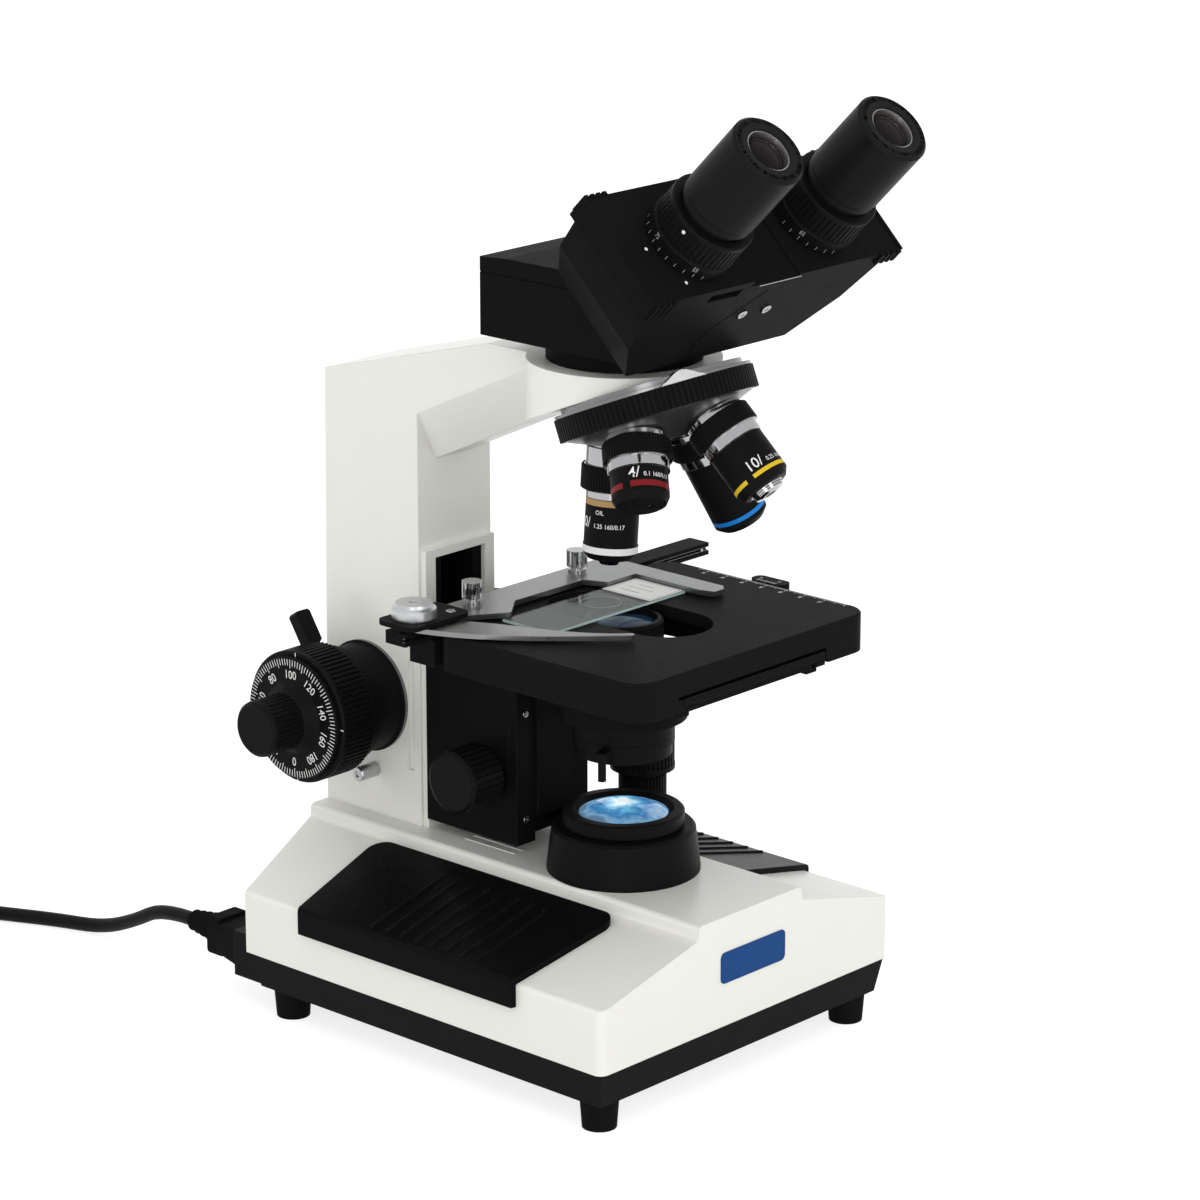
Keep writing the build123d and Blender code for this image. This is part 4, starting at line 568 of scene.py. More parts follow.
def coil_points():
    """Turns that spiral in on the floor, climb half a turn and spiral out on top."""
    inward = (COIL_TURNS - COIL_CLIMB) / 2
    outer = COIL_RADIUS + COIL_PITCH * inward / 2
    points = []
    for step in range(int(COIL_TURNS * COIL_STEPS) + 1):
        turns = step / COIL_STEPS
        share = min(max((turns - inward) / COIL_CLIMB, 0.0), 1.0)
        drawn = min(turns, inward) - max(turns - inward - COIL_CLIMB, 0.0)
        radius = outer - COIL_PITCH * drawn
        angle = math.radians(COIL_START) + 2 * math.pi * turns
        height = COIL_LOW + COIL_LAYER * share * share * (3 - 2 * share)
        points.append((
            COIL_CENTRE[0] + radius * math.cos(angle), COIL_CENTRE[1] + radius * math.sin(angle), height,
        ))
    return points


def make_cord():
    """The lead as one smooth line from the strain relief through the coil to the plug."""
    route = [CORD_EXIT] + CORD_ROUTE + coil_points() + [PLUG_PLACE]
    curve = bpy.data.curves.new("mains_cord", "CURVE")
    curve.dimensions = "3D"
    curve.bevel_depth = CORD_DIAMETER / 2 * MM
    curve.bevel_resolution = 3
    curve.resolution_u = 5
    spline = curve.splines.new("NURBS")
    spline.points.add(len(route) - 1)
    for control, point in zip(spline.points, route):
        control.co = (*mm(*point), 1.0)
    spline.order_u = 3
    spline.use_endpoint_u = True
    curve.materials.append(CORD_BLACK)
    lead = bpy.data.objects.new("mains_cord", curve)
    bpy.context.scene.collection.objects.link(lead)
    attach(lead, "stand")
    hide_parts("power_cord", "cord_coil")
    return lead


TIE_ANGLE = 200.0
TIE_WIDTH = 4.0
TIE_SHEET = 0.15
TIE_SLACK = 0.6
TIE_LIFT = 0.5
TIE_LOW = 0.02
TIE_CORNER = 4.0


def make_cord_tie():
    """Flat tie round the bundle of turns."""
    span = COIL_PITCH * (COIL_TURNS - COIL_CLIMB) / 2
    half = (span + CORD_DIAMETER) / 2 + TIE_SLACK
    top = COIL_LOW + COIL_LAYER + CORD_DIAMETER / 2 + TIE_LIFT
    side_x = half - TIE_CORNER
    high_z = top - TIE_CORNER
    low_z = TIE_LOW + TIE_CORNER
    outline = []
    for cx, cz, start in (
        (side_x, high_z, 0), (-side_x, high_z, 90), (-side_x, low_z, 180), (side_x, low_z, 270),
    ):
        for step in range(7):
            angle = math.radians(start + 15 * step)
            outline.append((cx + TIE_CORNER * math.cos(angle), cz + TIE_CORNER * math.sin(angle)))
    mesh = bmesh.new()
    place = at(*COIL_CENTRE, 0) @ turn(TIE_ANGLE, "Z") @ at(COIL_RADIUS, 0, 0)
    rings = []
    for side in (-0.5, 0.5):
        for shrink in (0.0, TIE_SHEET):
            rings.append([
                mesh.verts.new(place @ mm(
                    x - math.copysign(shrink, x), side * TIE_WIDTH, z + math.copysign(shrink, top / 2 - z)))
                for x, z in outline
            ])
    outer_a, inner_a, outer_b, inner_b = rings
    for first, second in ((outer_a, outer_b), (inner_b, inner_a), (inner_a, outer_a), (outer_b, inner_b)):
        for i in range(len(outline)):
            after = (i + 1) % len(outline)
            mesh.faces.new([first[i], first[after], second[after], second[i]])
    return smooth(link_mesh("cord_tie", mesh, BLACK_PLASTIC, "stand"))


make_camera()
cord = make_cord()
cord_tie = make_cord_tie()

# Finishes of the CAD pieces

AXIS_Y = -34.0
LIT_LENS = lit_lens("lamp_glow", mm(1.0, AXIS_Y - 1.0, 96.0))
PLAIN_FINISHES = {
    "base_casting": WHITE_ENAMEL, "arm_casting": WHITE_ENAMEL, "bottom_tray": TRAY_BLACK,
    "rubber_feet": BLACK_RUBBER, "hand_rests": REST_PLASTIC, "lamp_collar": BLACK_PLASTIC,
    "lamp_lens_ring": BLACK_PLASTIC, "lamp_lens": LIT_LENS, "led_module": ALUMINIUM,
    "mains_inlet": BLACK_PLASTIC, "focus_guide": BLACK_ENAMEL,
    "nosepiece_seat": SEAT_STEEL, "power_connector": BLACK_RUBBER, "power_plug": BLACK_RUBBER,
    "focus_carriage": STAGE_BLACK, "carriage_gibs": STAGE_BLACK, "stage_base_plate": STAGE_BLACK,
    "y_vernier": STAGE_BLACK, "coarse_shaft": GROUND_STEEL, "coarse_knob_left": BLACK_PLASTIC,
    "coarse_knob_right": BLACK_PLASTIC, "fine_shaft": GROUND_STEEL, "fine_knob_left": BLACK_PLASTIC,
    "fine_knob_right": BLACK_PLASTIC, "tension_lever": BLACK_PLASTIC, "stage_top_plate": STAGE_BLACK,
    "x_guide": STAGE_BLACK, "x_bar": STAGE_BLACK, "holder_bracket": STAGE_BLACK,
    "slide_holder": GROUND_STEEL, "holder_thumbscrews": CHROME, "specimen_slide": GLASS,
    "stage_y_knob": BLACK_PLASTIC, "stage_x_knob": BLACK_PLASTIC,
    "condenser_carrier": STAGE_BLACK, "condenser_body": BLACK_ENAMEL, "condenser_lens": CONDENSER_GLASS,
    "condenser_knob": BLACK_PLASTIC, "iris_lever": BLACK_ENAMEL, "filter_holder": BLACK_ENAMEL,
    "nosepiece_turret": TURRET_SATIN, "nosepiece_grip": BLACK_PLASTIC, "head_housing": HEAD_BLACK,
    "head_clamp_screw": CHROME, "head_plate_left": HEAD_BLACK, "head_plate_right": HEAD_BLACK,
    "diopter_ring_left": BLACK_PLASTIC, "diopter_ring_right": BLACK_PLASTIC, "power_switch": BLACK_PLASTIC,
    "brightness_dial": BLACK_PLASTIC,
}
for node_name, finish in PLAIN_FINISHES.items():
    paint(node_name, finish)

# Revolving nosepiece and objectives

TURRET_TILT = 22.46
TURRET_TURN = 13.9
APEX = (0.0, AXIS_Y, 300.57)
SHOULDER_REACH = 58.0
QUARTER_100X, QUARTER_4X, QUARTER_10X, QUARTER_40X = range(4)
COLLAR_RADIUS = 12.9
COLLAR_RADIUS_100X = 12.5
BARREL_4X = 10.9
BARREL_10X = 11.2
BARREL_40X = 11.0
BARREL_100X = 10.4
BARREL_RIM_100X = 10.7
KNURL_TOP = 2.5
KNURL_BOTTOM = 10.1
KNURL_COUNT = 64
KNURL_PROUD = 0.3
BAND_SWEEP = 343.0
BAND_STEPS = 60
PAINT_HEIGHT = 0.07
PAINT_DEPTH = 0.3
POWER_SIZE = 5.9
APERTURE_SIZE = 2.45


def objective_frame(quarter):
    """Placement at an objective's shoulder, Z up along its axis."""
    return (
        at(*APEX) @ turn(-TURRET_TILT, "X") @ turn(90 * quarter + TURRET_TURN, "Z") @ turn(TURRET_TILT, "X")
        @ at(0, 0, -SHOULDER_REACH)
    )


def objective_finish(name, quarter, bands):
    """Black barrel with bright bands, each given by its top and bottom below the shoulder."""
    back = objective_frame(quarter).inverted()

    def rule(centre, _normal):
        """1 for the faces in a bright band."""
        drop = -(back @ (centre * MM)).z / MM
        return 1 if any(top < drop < bottom for top, bottom in bands) else 0

    paint(name, BLACK_ENAMEL, CHROME, rule=rule)


def knurled_band(name, quarter, radius, top, bottom):
    """Straight-ribbed band round an objective, over the plain one of the solid."""
    mesh = bmesh.new()
    place = objective_frame(quarter)
    rings = []
    for reach, drop in ((-0.5, top - 0.3), (0.0, top + 0.3), (0.0, bottom - 0.3), (-0.5, bottom + 0.1)):
        ring = []
        for rib in range(KNURL_COUNT):
            for share, dip in ((0.0, 0.0), (0.4, 0.0), (0.55, 0.45), (0.85, 0.45)):
                angle = 2 * math.pi * (rib + share) / KNURL_COUNT
                r = radius + KNURL_PROUD + reach - dip
                ring.append(mesh.verts.new(place @ mm(r * math.cos(angle), r * math.sin(angle), -drop)))
        rings.append(ring)
    for high, low in zip(rings, rings[1:]):
        for i in range(len(high)):
            after = (i + 1) % len(high)
            mesh.faces.new([high[i], low[i], low[after], high[after]])
    return link_mesh(name, mesh, BLACK_PLASTIC, "turret")


def band_ring(name, quarter, radius, top, bottom, finish, start):
    """Painted ring on an objective's barrel, open for a short way before its numbers."""
    mesh = bmesh.new()
    place = objective_frame(quarter)
    outer, inner = radius + PAINT_HEIGHT, radius - PAINT_DEPTH
    section = [(outer, -top), (outer, -bottom), (inner, -bottom), (inner, -top)]
    rows = []
    for step in range(BAND_STEPS + 1):
        angle = math.radians(start + BAND_SWEEP * step / BAND_STEPS)
        rows.append([
            mesh.verts.new(place @ mm(r * math.cos(angle), r * math.sin(angle), z)) for r, z in section
        ])
    for row, after in zip(rows, rows[1:]):
        for i in range(4):
            mesh.faces.new([row[i], row[(i + 1) % 4], after[(i + 1) % 4], after[i]])
    mesh.faces.new(rows[0])
    mesh.faces.new(rows[-1])
    return smooth(link_mesh(name, mesh, finish, "turret"))


def objective_words(name, quarter, radius, drop, power, middle, aperture, more=()):
    """Numbers round an objective: its power with its middle at an angle, then the aperture beside it."""
    place = objective_frame(quarter)
    half = math.degrees(POWER_SIZE * (0.28 * len(power) - 0.03) / radius)
    items = [
        (power, POWER_SIZE, middle, drop, "CENTER"),
        (aperture, APERTURE_SIZE, middle + half + 2.0, drop + 0.8, "LEFT"),
    ]
    items.extend((words, APERTURE_SIZE, angle, depth, "CENTER") for words, angle, depth in more)
    words_piece(name, "turret", WHITE_MARK, [
        (words, size, place @ turn(angle + 90, "Z") @ at(0, 0, -depth), radius, 0.95, align)
        for words, size, angle, depth, align in items
    ])


objective_finish("objective_4x", QUARTER_4X, [(-5, 2.6), (10.2, 14.3)])
objective_finish("objective_10x", QUARTER_10X, [(-5, 2.6), (10.2, 14.5), (34.4, 38)])
objective_finish("objective_40x", QUARTER_40X, [(-5, 2.6), (10.2, 14.5), (44.9, 47)])
objective_finish("objective_100x", QUARTER_100X, [(-5, 7.1), (16.5, 19.7), (44.1, 47)])
knurled_band("knurl_4x", QUARTER_4X, COLLAR_RADIUS, KNURL_TOP, KNURL_BOTTOM)
knurled_band("knurl_10x", QUARTER_10X, COLLAR_RADIUS, KNURL_TOP, KNURL_BOTTOM)
knurled_band("knurl_40x", QUARTER_40X, COLLAR_RADIUS, KNURL_TOP, KNURL_BOTTOM)
knurled_band("knurl_100x", QUARTER_100X, COLLAR_RADIUS_100X, 7.2, 16.4)
band_ring("ring_4x", QUARTER_4X, BARREL_4X, 20.3, 22.6, BAND_RED_SHADED, 104.0)
band_ring("ring_10x", QUARTER_10X, BARREL_10X, 29.1, 30.7, BAND_YELLOW, 20.0)
band_ring("ring_40x", QUARTER_40X, BARREL_40X, 38.9, 40.6, BAND_BLUE, 62.0)
band_ring("ring_100x_tan", QUARTER_100X, BARREL_100X, 19.9, 22.3, BAND_TAN, 125.0)
band_ring("ring_100x_white", QUARTER_100X, BARREL_RIM_100X, 38.2, 40.8, BAND_WHITE, 125.0)
objective_words("words_4x", QUARTER_4X, BARREL_4X, 17.3, "4/", 113.0, "0.1 160/0.17")
objective_words("words_10x", QUARTER_10X, BARREL_10X, 26.1, "10/", 35.0, "0.25 160/0.17")
objective_words("words_40x", QUARTER_40X, BARREL_40X, 35.0, "40/", 80.0, "0.65 160/0.17")
objective_words("words_100x", QUARTER_100X, BARREL_100X, 29.2, "100/", 130.0, "1.25 160/0.17", [
    ("OIL", 181.0, 24.8),
])

# Front lenses, each a quarter, a radius and a reach down from the shoulder
FRONT_LENSES = {
    "4x": (QUARTER_4X, 4.5, 26.6), "10x": (QUARTER_10X, 2.4, 37.0),
    "40x": (QUARTER_40X, 1.6, 45.8), "100x": (QUARTER_100X, 1.2, 46.0),
}
for power, (quarter, radius, drop) in FRONT_LENSES.items():
    turned_piece("front_lens_" + power, "turret", EYE_LENS, objective_frame(quarter) @ at(0, 0, -drop), [
        (0, 0.3), (radius, 0.3), (radius, -0.02), (0.7 * radius, -0.16), (0, -0.25),
    ], 24)
# Painted shade: thin near-black rings on the 10x tip, for the shade in the grooves between its steps.
TIP_GROOVES = ((6.32, 35.0), (6.12, 35.9))
for index, (radius, drop) in enumerate(TIP_GROOVES):
    root = radius - 0.4
    place = objective_frame(QUARTER_10X) @ at(0, 0, -drop)
    turned_piece(f"tip_groove_painted_shade_{index}", "turret", PAINTED_SHADE_BLACK, place, [
        (root, -0.15), (radius, -0.15), (radius, 0.15), (root, 0.15), (root, -0.15),
    ], 48)

# Binocular head

HEAD_PLACE = at(0, -93.4, 332.0) @ turn(45.0, "X")
TUBE_HALF = 36.0
PLATE_TOPS = {"left": 4.7, "right": 1.9}
PLATE_FRONT = -22.0
EYE_END = 54.8
LENS_REACH = 8.41
LENS_LOW = 45.0
EYE_GLASS_RADIUS = 7.65
EYE_GLASS_TOP = 1.9
EYE_GLASS_BULGE = 1.6
EYE_GLASS_FOOT = 4.2


def eyepiece_finish(name, side):
    """Black barrel, with the eye lens at the bottom of its cup."""
    back = (HEAD_PLACE @ at(side * TUBE_HALF, 0, 0)).inverted()

    def rule(centre, _normal):
        """1 for the faces of the eye lens."""
        local = back @ (centre * MM) / MM
        radius = math.hypot(local.x, local.y)
        return 1 if radius < LENS_REACH and local.z > LENS_LOW else 0

    paint(name, BARREL_BLACK, EYE_LENS, rule=rule)


def eye_end(side, middle):
    """Flat eye end with a bright-walled opening and a domed lens, on an eyepiece's end."""
    body = "ocular_" + side
    place = HEAD_PLACE @ at(middle, 0, PLATE_TOPS[side] + EYE_END)
    turned_piece("eye_ring_" + side, body, BARREL_BLACK, place, [
        (8.9, -0.5), (9.2, -0.15), (11.2, 0.0), (13.6, 0.0), (13.6, -0.5), (11.6, -0.6), (8.9, -1.6),
        (8.9, -0.5),
    ], 64)
    turned_piece("eye_rim_" + side, body, LENS_RIM, place, [
        (8.85, -0.7), (8.85, -1.6), (8.2, -3.4), (7.7, -3.4), (7.7, -3.2), (8.5, -0.7), (8.85, -0.7),
    ], 64)
    lens = [(0, -EYE_GLASS_TOP)]
    for angle in (0.3, 0.6, 0.9, 1.2, 1.5):
        fall = EYE_GLASS_BULGE * (1 - math.cos(angle))
        lens.append((EYE_GLASS_RADIUS * math.sin(angle), -EYE_GLASS_TOP - fall))
    lens += [(EYE_GLASS_RADIUS, -EYE_GLASS_FOOT), (0, -EYE_GLASS_FOOT)]
    turned_piece("eye_glass_" + side, body, EYE_LENS, place, lens, 48)


eyepiece_finish("eyepiece_left", -1)
eyepiece_finish("eyepiece_right", 1)
eye_end("left", -TUBE_HALF)
eye_end("right", TUBE_HALF)
RING_RADIUS = 17.6
RING_TOP_RADIUS = 17.25
NUMBER_LIFT = 4.7
TICK_LIFT = 2.0


def diopter_scale(side, middle, numbers, first, last, step):
    """Ticks and numbers round the foot of a diopter ring, at angles about its axis."""
    body = "ocular_" + side
    ring = HEAD_PLACE @ at(middle, 0, PLATE_TOPS[side])
    ticks = []
    angle = first
    while angle <= last:
        ticks.append((ring @ turn(angle, "Z") @ at(RING_RADIUS, 0, TICK_LIFT), (0.12, 0.22, 1.7)))
        angle += step
    slab_piece("diopter_ticks_" + side, body, DIM_MARK, ticks)
    words_piece("diopter_numbers_" + side, body, DIM_MARK, [
        (words, 3.0, ring @ turn(angle + 90, "Z") @ at(0, 0, NUMBER_LIFT), RING_RADIUS, 0.75)
        for words, angle in numbers
    ])


diopter_scale("left", -TUBE_HALF, [("75", 171.6), ("55", 234.0)], 132.6, 262.0, 13.0)
diopter_scale("right", TUBE_HALF, [("65", 208.1)], 182.1, 262.0, 13.0)
dots("diopter_dot_left", "ocular_left", WHITE_MARK, [
    HEAD_PLACE @ at(-TUBE_HALF, 0, PLATE_TOPS["left"] + 15.2) @ turn(192.6, "Z")
    @ at(RING_TOP_RADIUS, 0, 0) @ turn(90, "Y"),
], 0.75)
dots("plate_dots_left", "tube_left", WHITE_MARK, [
    HEAD_PLACE @ at(-57.1, 0.9, PLATE_TOPS["left"]), HEAD_PLACE @ at(-48.8, -15.9, PLATE_TOPS["left"]),
], 0.7)
dots("plate_dot_right", "tube_right", WHITE_MARK, [HEAD_PLACE @ at(56.1, -10.0, PLATE_TOPS["right"])], 0.7)
# Painted highlight: a thin bright strip for the light caught along the top front edge of the right plate's
# tongue.
slab_piece("plate_edge_highlight_right", "tube_right", ALUMINIUM, [
    (HEAD_PLACE @ at(2.2, PLATE_FRONT, 0.25), (23.6, 0.12, 0.4)),
])
slab_piece("plate_mark_right", "tube_right", TRAY_BLACK, [
    (HEAD_PLACE @ at(54.4, -16.2, PLATE_TOPS["right"]), (0.5, 10.6, 0.1)),
])
screws("head_screws", "head", [
    HEAD_PLACE @ at(x, -21.4, z) @ turn(90, "X") for x, z in ((-3.0, -19.5), (11.0, -19.9))
], 2.2)

# Focus drum, tension and bushes

ARM_LEFT = -20.5
FOCUS_Y = 87.0
FOCUS_Z = 120.5
DRUM_FACE = at(-62.5, FOCUS_Y, FOCUS_Z) @ facing(-90)
RIM_FACE = at(-60.2, FOCUS_Y, FOCUS_Z) @ facing(-90)
DRUM_RANGE = 200
DRUM_STEP = 2
DRUM_OFFSET = 2.0
DRUM_TOP_NUMBER = 100
DEGREES_PER_PART = 1.8
DRUM_NUMBER_STEP = 20
DRUM_NUMBER_SIZE = 4.9
DRUM_NUMBER_RADIUS = 17.8
KNOB_INDEX_RADIUS = 25.9
TICK_END = 24.3
TICK_WIDTH = 0.31
LONG_TICK_START = 20.7
SHORT_TICK_START = 21.7
BUSH_RIM_INNER = 22.6


def drum_turn(number):
    """Rotation on the drum's face to one of its divisions."""
    return turn(DRUM_OFFSET - DEGREES_PER_PART * (number - DRUM_TOP_NUMBER), "Z")


drum_ticks = []
for number in range(0, DRUM_RANGE, DRUM_STEP):
    start = LONG_TICK_START if number % 10 == 0 else SHORT_TICK_START
    place = DRUM_FACE @ drum_turn(number) @ at(0, (start + TICK_END) / 2, 0)
    drum_ticks.append((place, (TICK_WIDTH, TICK_END - start, 0.12)))
slab_piece("drum_ticks", "fine", WHITE_MARK, drum_ticks)
words_piece("drum_numbers", "fine", WHITE_MARK, [
    (str(number), DRUM_NUMBER_SIZE, DRUM_FACE @ drum_turn(number) @ at(0, DRUM_NUMBER_RADIUS, 0), None, 0.92)
    for number in range(0, DRUM_RANGE, DRUM_NUMBER_STEP)
])
slab_piece("knob_index", "coarse", WHITE_MARK, [
    (RIM_FACE @ turn(90 * quarter, "Z") @ at(0, KNOB_INDEX_RADIUS, 0), (0.5, 1.5, 0.12))
    for quarter in range(4)
])


def bush_rule(centre, normal):
    """1 for the bright rim of a bush, at the arm's side."""
    radius = math.hypot(centre.y - FOCUS_Y, centre.z - FOCUS_Z)
    return 1 if radius > BUSH_RIM_INNER and abs(normal.x) < 0.5 else 0


paint("focus_bushes", BLACK_ENAMEL, SEAT_STEEL, rule=bush_rule)
turned_piece("tension_stop", "stand", ALUMINIUM, at(ARM_LEFT, 83.3, 89.8) @ turn(-90, "Y"), [
    (0, 0), (3.1, 0), (3.1, 9.6), (2.6, 10.1), (1.3, 10.1), (1.2, 9.5), (0, 9.5),
], 32)

# Stage, slide and carriage

STAGE_TOP = 175.2
STAGE_FRONT = -102.5
SLIDE_LEFT, SLIDE_RIGHT = -41.0, 35.0
SLIDE_FRONT, SLIDE_BACK = -34.5, -8.5
SLIDE_MIDDLE = 175.9
SLIDE_TOP = 176.45
LABEL_PLACE = (24.7, -21.5)
LABEL_SHEET = 0.08
PIVOT = (-71.0, 9.5)
PIVOT_REACH = 11.0
FINGER_TOP = 178.4
PIVOT_BASE = 180.25
SCALE_EDGE = 66.3
SCALE_BACK = -16.0
VERNIER_TOP = 175.6
VERNIER_BACK = -43.5


def finger_rule(centre, _normal):
    """1 for the pivot knob of the slide finger."""
    away = math.hypot(centre.x - PIVOT[0], centre.y - PIVOT[1])
    return 1 if away < PIVOT_REACH and centre.z > FINGER_TOP else 0


paint("slide_finger", GROUND_STEEL, ALUMINIUM, rule=finger_rule)
rounded_slab("slide_label", "stage_x", PAPER, at(*LABEL_PLACE, SLIDE_TOP), (19.8, 25.2, LABEL_SHEET), 0.3)
slab_piece("label_rules", "stage_x", RULE_INK, [
    (at(LABEL_PLACE[0] + x, LABEL_PLACE[1] + y, SLIDE_TOP + LABEL_SHEET), size)
    for x, y, size in (
        (0.0, 11.6, (18.2, 0.16, 0.04)), (0.0, -11.6, (18.2, 0.16, 0.04)), (8.9, 0.0, (0.16, 23.2, 0.04)),
        (-8.9, 0.0, (0.16, 23.2, 0.04)), (-4.6, 2.6, (0.4, 9.4, 0.04)), (0.2, 1.0, (0.3, 13.0, 0.04)),
        (4.2, 1.6, (0.3, 8.0, 0.04)),
    )
])
# Painted highlight: thin strips along the slide's edges, partly the glass's own green edge colour, partly
# the light caught along them.
slab_piece("slide_edge_highlights", "stage_x", GLASS_EDGE_HIGHLIGHT, [
    (at((SLIDE_LEFT + SLIDE_RIGHT) / 2, SLIDE_FRONT, SLIDE_MIDDLE), (SLIDE_RIGHT - SLIDE_LEFT, 0.12, 1.0)),
    (at(SLIDE_LEFT, (SLIDE_FRONT + SLIDE_BACK) / 2, SLIDE_MIDDLE), (0.12, SLIDE_BACK - SLIDE_FRONT, 1.0)),
    (at(SLIDE_RIGHT, (SLIDE_FRONT + SLIDE_BACK) / 2, SLIDE_MIDDLE), (0.12, SLIDE_BACK - SLIDE_FRONT, 1.0)),
])
turned_piece("cover_ring", "stage_x", DIM_MARK, at(1.2, -21.0, SLIDE_TOP), [
    (7.8, 0), (8.05, 0), (8.05, 0.1), (7.8, 0.1), (7.8, 0),
], 64)
y_ticks = []
for line in range(76):
    length = 2.6 if line % 10 == 5 else 2.0 if line % 5 == 0 else 1.4
    y_ticks.append((at(SCALE_EDGE - length / 2, SCALE_BACK - line, STAGE_TOP), (length, 0.2, 0.1)))
slab_piece("y_scale", "stage_y", WHITE_MARK, y_ticks)
words_piece("y_numbers", "stage_y", WHITE_MARK, [
    (str(10 * (index + 1)), 2.3, at(61.6, SCALE_BACK - 5.0 - 10 * index, STAGE_TOP), None, 0.9)
    for index in range(7)
])
slab_piece("vernier_lines", "lift", WHITE_MARK, [
    (at(68.4, VERNIER_BACK - 0.9 * line, VERNIER_TOP), (1.8 if line % 5 == 0 else 1.2, 0.18, 0.1))
    for line in range(11)
])
words_piece("vernier_numbers", "lift", WHITE_MARK, [
    ("0", 1.9, at(70.8, VERNIER_BACK, VERNIER_TOP)),
    ("10", 1.9, at(71.0, VERNIER_BACK - 9.0, VERNIER_TOP), None, 0.8),
])
slab_piece("bar_rails", "stage_x", GROUND_STEEL, [
    (at(7.5, 6.4, z), (174.6, 0.9, 0.3)) for z in (172.65, 174.05)
])
turned_piece("bar_stop", "stage_x", CHROME, at(91.0, 6.6, 173.35) @ turn(90, "X"), [
    (0, 0), (0.72, 0), (0.72, 0.9), (0.3, 1.1), (0, 1.1),
], 16)
screws("bracket_screw", "stage_x", [at(-56.5, 4.2, 180.1)], 1.9, 0.7)
turned_piece("pivot_cap", "finger", ALUMINIUM, at(*PIVOT, PIVOT_BASE), [
    (6.0, 0.3), (8.66, 0.3), (8.66, 3.85), (8.3, 4.3), (7.5, 4.85), (7.06, 6.06), (2.0, 6.06), (2.0, 5.6),
    (6.0, 5.0), (6.0, 0.3),
], 64)
screws("pivot_screw", "finger", [at(*PIVOT, PIVOT_BASE + 5.2)], 1.4, 0.7, slotted=True)
screws("gib_screws", "lift", [
    at(x, 4.5, z) @ facing(0) for x in (-15.35, 15.35) for z in (85.4, 129.3)
], 1.5, 0.8)
screws("carriage_screws", "lift", [
    at(ARM_LEFT, 44.0, z) @ facing(-90) for z in (124.4, 114.5)
], 1.0, 0.3, BLACK_PLASTIC)

# Front edge of the stage: a rail on the upper plate, feet and lugs on the lower one
slab_piece("stage_rail", "stage_y", STAGE_BLACK, [
    (at(-1.8, STAGE_FRONT, 163.4), (81.0, 0.7, 3.2)),
])
# Painted shadow: near-black strips for the dark gap above the rail and at its end.
slab_piece("stage_rail_painted_shadow", "stage_y", PAINTED_SHADE_BLACK, [
    (at(-3.0, STAGE_FRONT, 165.6), (85.0, 0.16, 1.2)), (at(39.2, STAGE_FRONT, 163.8), (0.8, 0.16, 3.8)),
])
slab_piece("stage_feet", "lift", STAGE_BLACK, [
    (at(x, -100.2, 160.4), (5.0, 5.0, 1.6)) for x in (-38.0, 36.4)
])
slab_piece("stage_lugs", "lift", STAGE_BLACK, [
    (at(37.0 * side, -94.4, 156.5), (6.0, 6.4, 1.8)) for side in (-1, 1)
])

# Condenser

FILTER_LOW = 119.2
turned_piece("condenser_bush", "lift", CHROME, at(ARM_LEFT, 16.5, 105.0) @ turn(-90, "Y"), [
    (3.3, 0), (5.2, 0), (5.2, 3.0), (4.7, 3.4), (3.3, 3.4), (3.3, 0),
], 32)
turned_piece("blue_filter", "filter", FILTER_BLUE, at(0, AXIS_Y, FILTER_LOW + 1.3), [
    (0, 0), (16.3, 0), (16.3, 2.0), (0, 2.0),
], 48)

# Base

BASE_FRONT = -100.0
PLATEAU = 71.1
TRAY_UNDERSIDE = 11.7
SWITCH_HEIGHT = 39.0
badge_place = at(1.2, BASE_FRONT, 50.2) @ facing(0)
rounded_slab("badge_plate", "stand", BADGE_BLUE, badge_place, (37.6, 12.6, 0.45), 2.2)
# Painted reflections: two thin white strips for bright reflected lines on the plateau under the carriage.
slab_piece("plateau_reflection_lines", "stand", BAND_WHITE, [
    (at(x, 20.8, PLATEAU), (0.8, 27.0, 0.6)) for x in (-18.7, -13.8)
])
screws("tray_screws", "stand", [
    at(x, y, TRAY_UNDERSIDE) @ turn(180, "X") for x in (-48.0, 48.0) for y in (-82.0, 62.0)
], 3.4, 1.2)
words_piece("switch_marks", "rocker", WHITE_MARK, [
    ("I", 3.6, at(4.2, 112.54, SWITCH_HEIGHT) @ turn(9.0, "Z") @ facing(180)),
    ("O", 3.6, at(-4.2, 112.27, SWITCH_HEIGHT) @ turn(-5.4, "Z") @ facing(180)),
])
slab_piece("dial_pointer", "dimmer", WHITE_MARK, [(at(94.3, -75.0, 43.2) @ facing(90), (0.7, 4.4, 0.16))])

# Floor, light and background

FLOOR_HALF = 6.0
FLOOR_GREY = 0.86
FLOOR_GLOW = 1.56
GLOW_SHARE = 0.5


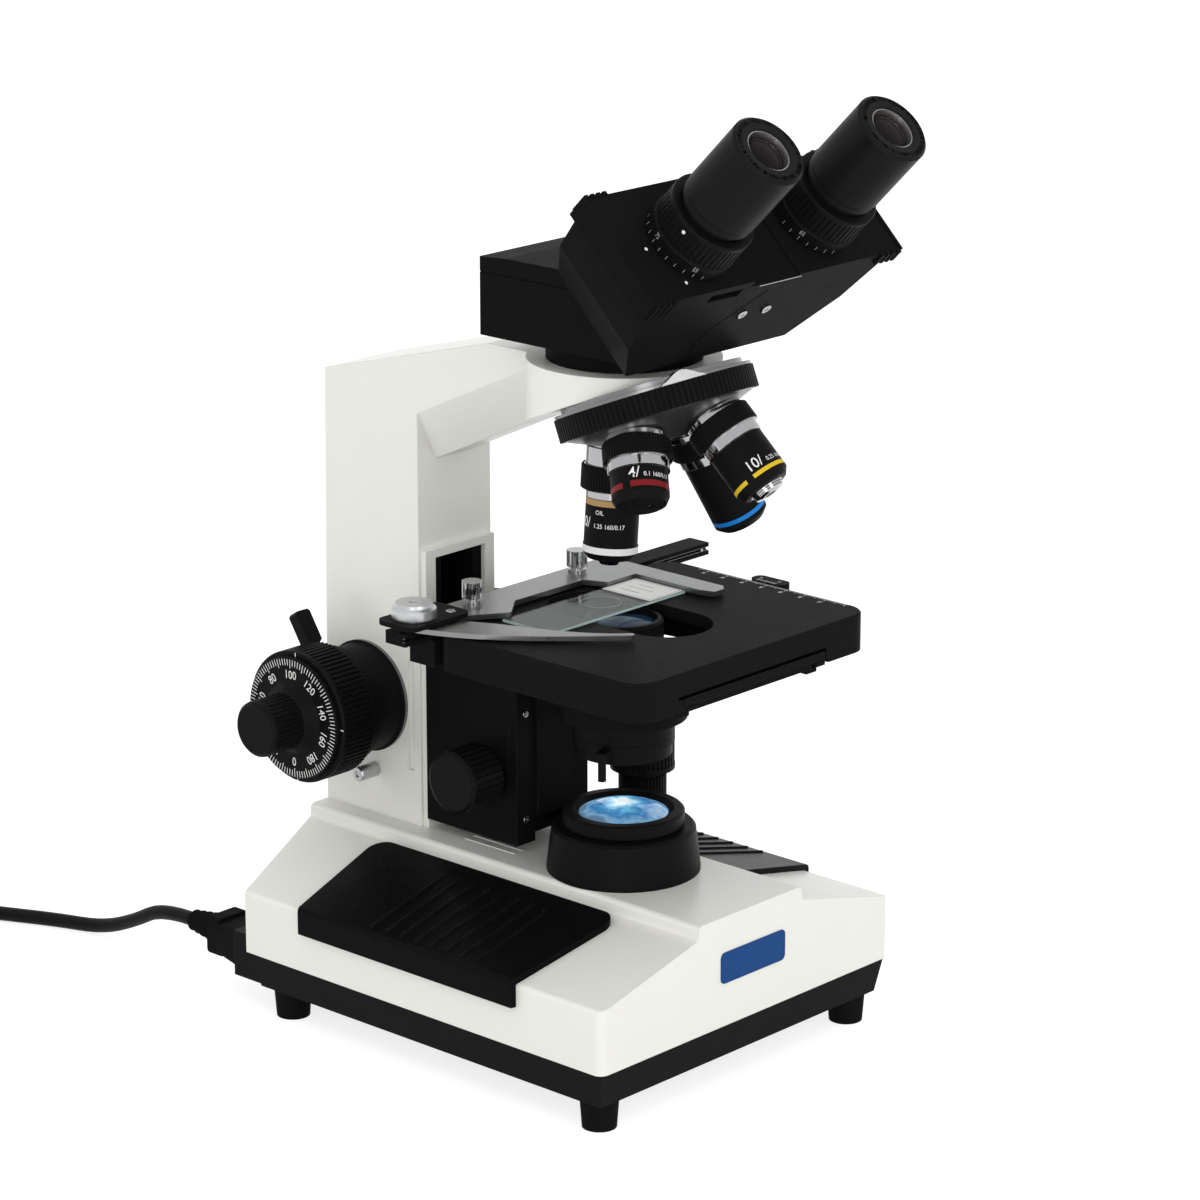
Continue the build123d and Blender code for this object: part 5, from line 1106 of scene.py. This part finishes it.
def make_floor():
    """Pale floor that shows as white to the eye and still takes the object's shadow."""
    mesh = bmesh.new()
    bmesh.ops.create_grid(mesh, x_segments=1, y_segments=1, size=FLOOR_HALF)
    data = bpy.data.meshes.new("floor")
    mesh.to_mesh(data)
    mesh.free()
    made = bpy.data.materials.new("floor")
    made.use_nodes = True
    tree = made.node_tree
    tree.nodes.clear()
    plain = add_node(tree, "ShaderNodeBsdfDiffuse", Color=(FLOOR_GREY, FLOOR_GREY, FLOOR_GREY, 1.0))
    glow = add_node(tree, "ShaderNodeEmission", Color=(1.0, 1.0, 1.0, 1.0), Strength=FLOOR_GLOW)
    mix = add_node(tree, "ShaderNodeMixShader")
    share = add_node(tree, "ShaderNodeMath", operation="MULTIPLY")
    share.inputs[1].default_value = GLOW_SHARE
    tree.links.new(seen_directly(tree), share.inputs[0])
    tree.links.new(share.outputs["Value"], mix.inputs["Fac"])
    tree.links.new(plain.outputs["BSDF"], mix.inputs[1])
    tree.links.new(glow.outputs["Emission"], mix.inputs[2])
    output = add_node(tree, "ShaderNodeOutputMaterial")
    tree.links.new(mix.outputs["Shader"], output.inputs["Surface"])
    data.materials.append(made)
    floor = bpy.data.objects.new("floor", data)
    bpy.context.scene.collection.objects.link(floor)


def seen_directly(tree):
    """1 for what the camera sees itself, in a mirror or through glass."""
    path = add_node(tree, "ShaderNodeLightPath")
    first = add_node(tree, "ShaderNodeMath", operation="MAXIMUM")
    tree.links.new(path.outputs["Is Camera Ray"], first.inputs[0])
    tree.links.new(path.outputs["Is Glossy Ray"], first.inputs[1])
    both = add_node(tree, "ShaderNodeMath", operation="MAXIMUM")
    tree.links.new(first.outputs["Value"], both.inputs[0])
    tree.links.new(path.outputs["Is Transmission Ray"], both.inputs[1])
    return both.outputs["Value"]


AMBIENT = 0.95


def make_world():
    """White background, with a softer even light from it."""
    world = bpy.data.worlds.new("studio")
    world.use_nodes = True
    bpy.context.scene.world = world
    tree = world.node_tree
    tree.nodes.clear()
    strength = add_node(tree, "ShaderNodeMapRange", To_Min=AMBIENT, To_Max=1.0)
    tree.links.new(seen_directly(tree), strength.inputs["Value"])
    background = add_node(tree, "ShaderNodeBackground", Color=(1.0, 1.0, 1.0, 1.0))
    tree.links.new(strength.outputs["Result"], background.inputs["Strength"])
    output = add_node(tree, "ShaderNodeOutputWorld")
    tree.links.new(background.outputs["Background"], output.inputs["Surface"])


def area_light(name, place, target, size, power):
    """Soft rectangular lamp aimed at a point."""
    data = bpy.data.lights.new(name, "AREA")
    data.shape = "RECTANGLE"
    data.size, data.size_y = size
    data.energy = power
    lamp = bpy.data.objects.new(name, data)
    lamp.location = place
    lamp.rotation_mode = "QUATERNION"
    lamp.rotation_quaternion = (Vector(target) - Vector(place)).to_track_quat("-Z", "Y")
    bpy.context.scene.collection.objects.link(lamp)


LIGHT_TARGET = (0.0, 0.0, 0.18)
make_floor()
make_world()
area_light("key", (-0.35, -1.7, 0.95), LIGHT_TARGET, (0.6, 0.7), 4.6)
area_light("left_fill", (-1.45, -1.0, 0.50), LIGHT_TARGET, (0.5, 0.9), 4.4)
area_light("top", (0.2, 0.2, 1.8), LIGHT_TARGET, (0.8, 0.8), 0.6)
bpy.context.scene.view_settings.view_transform = "Standard"
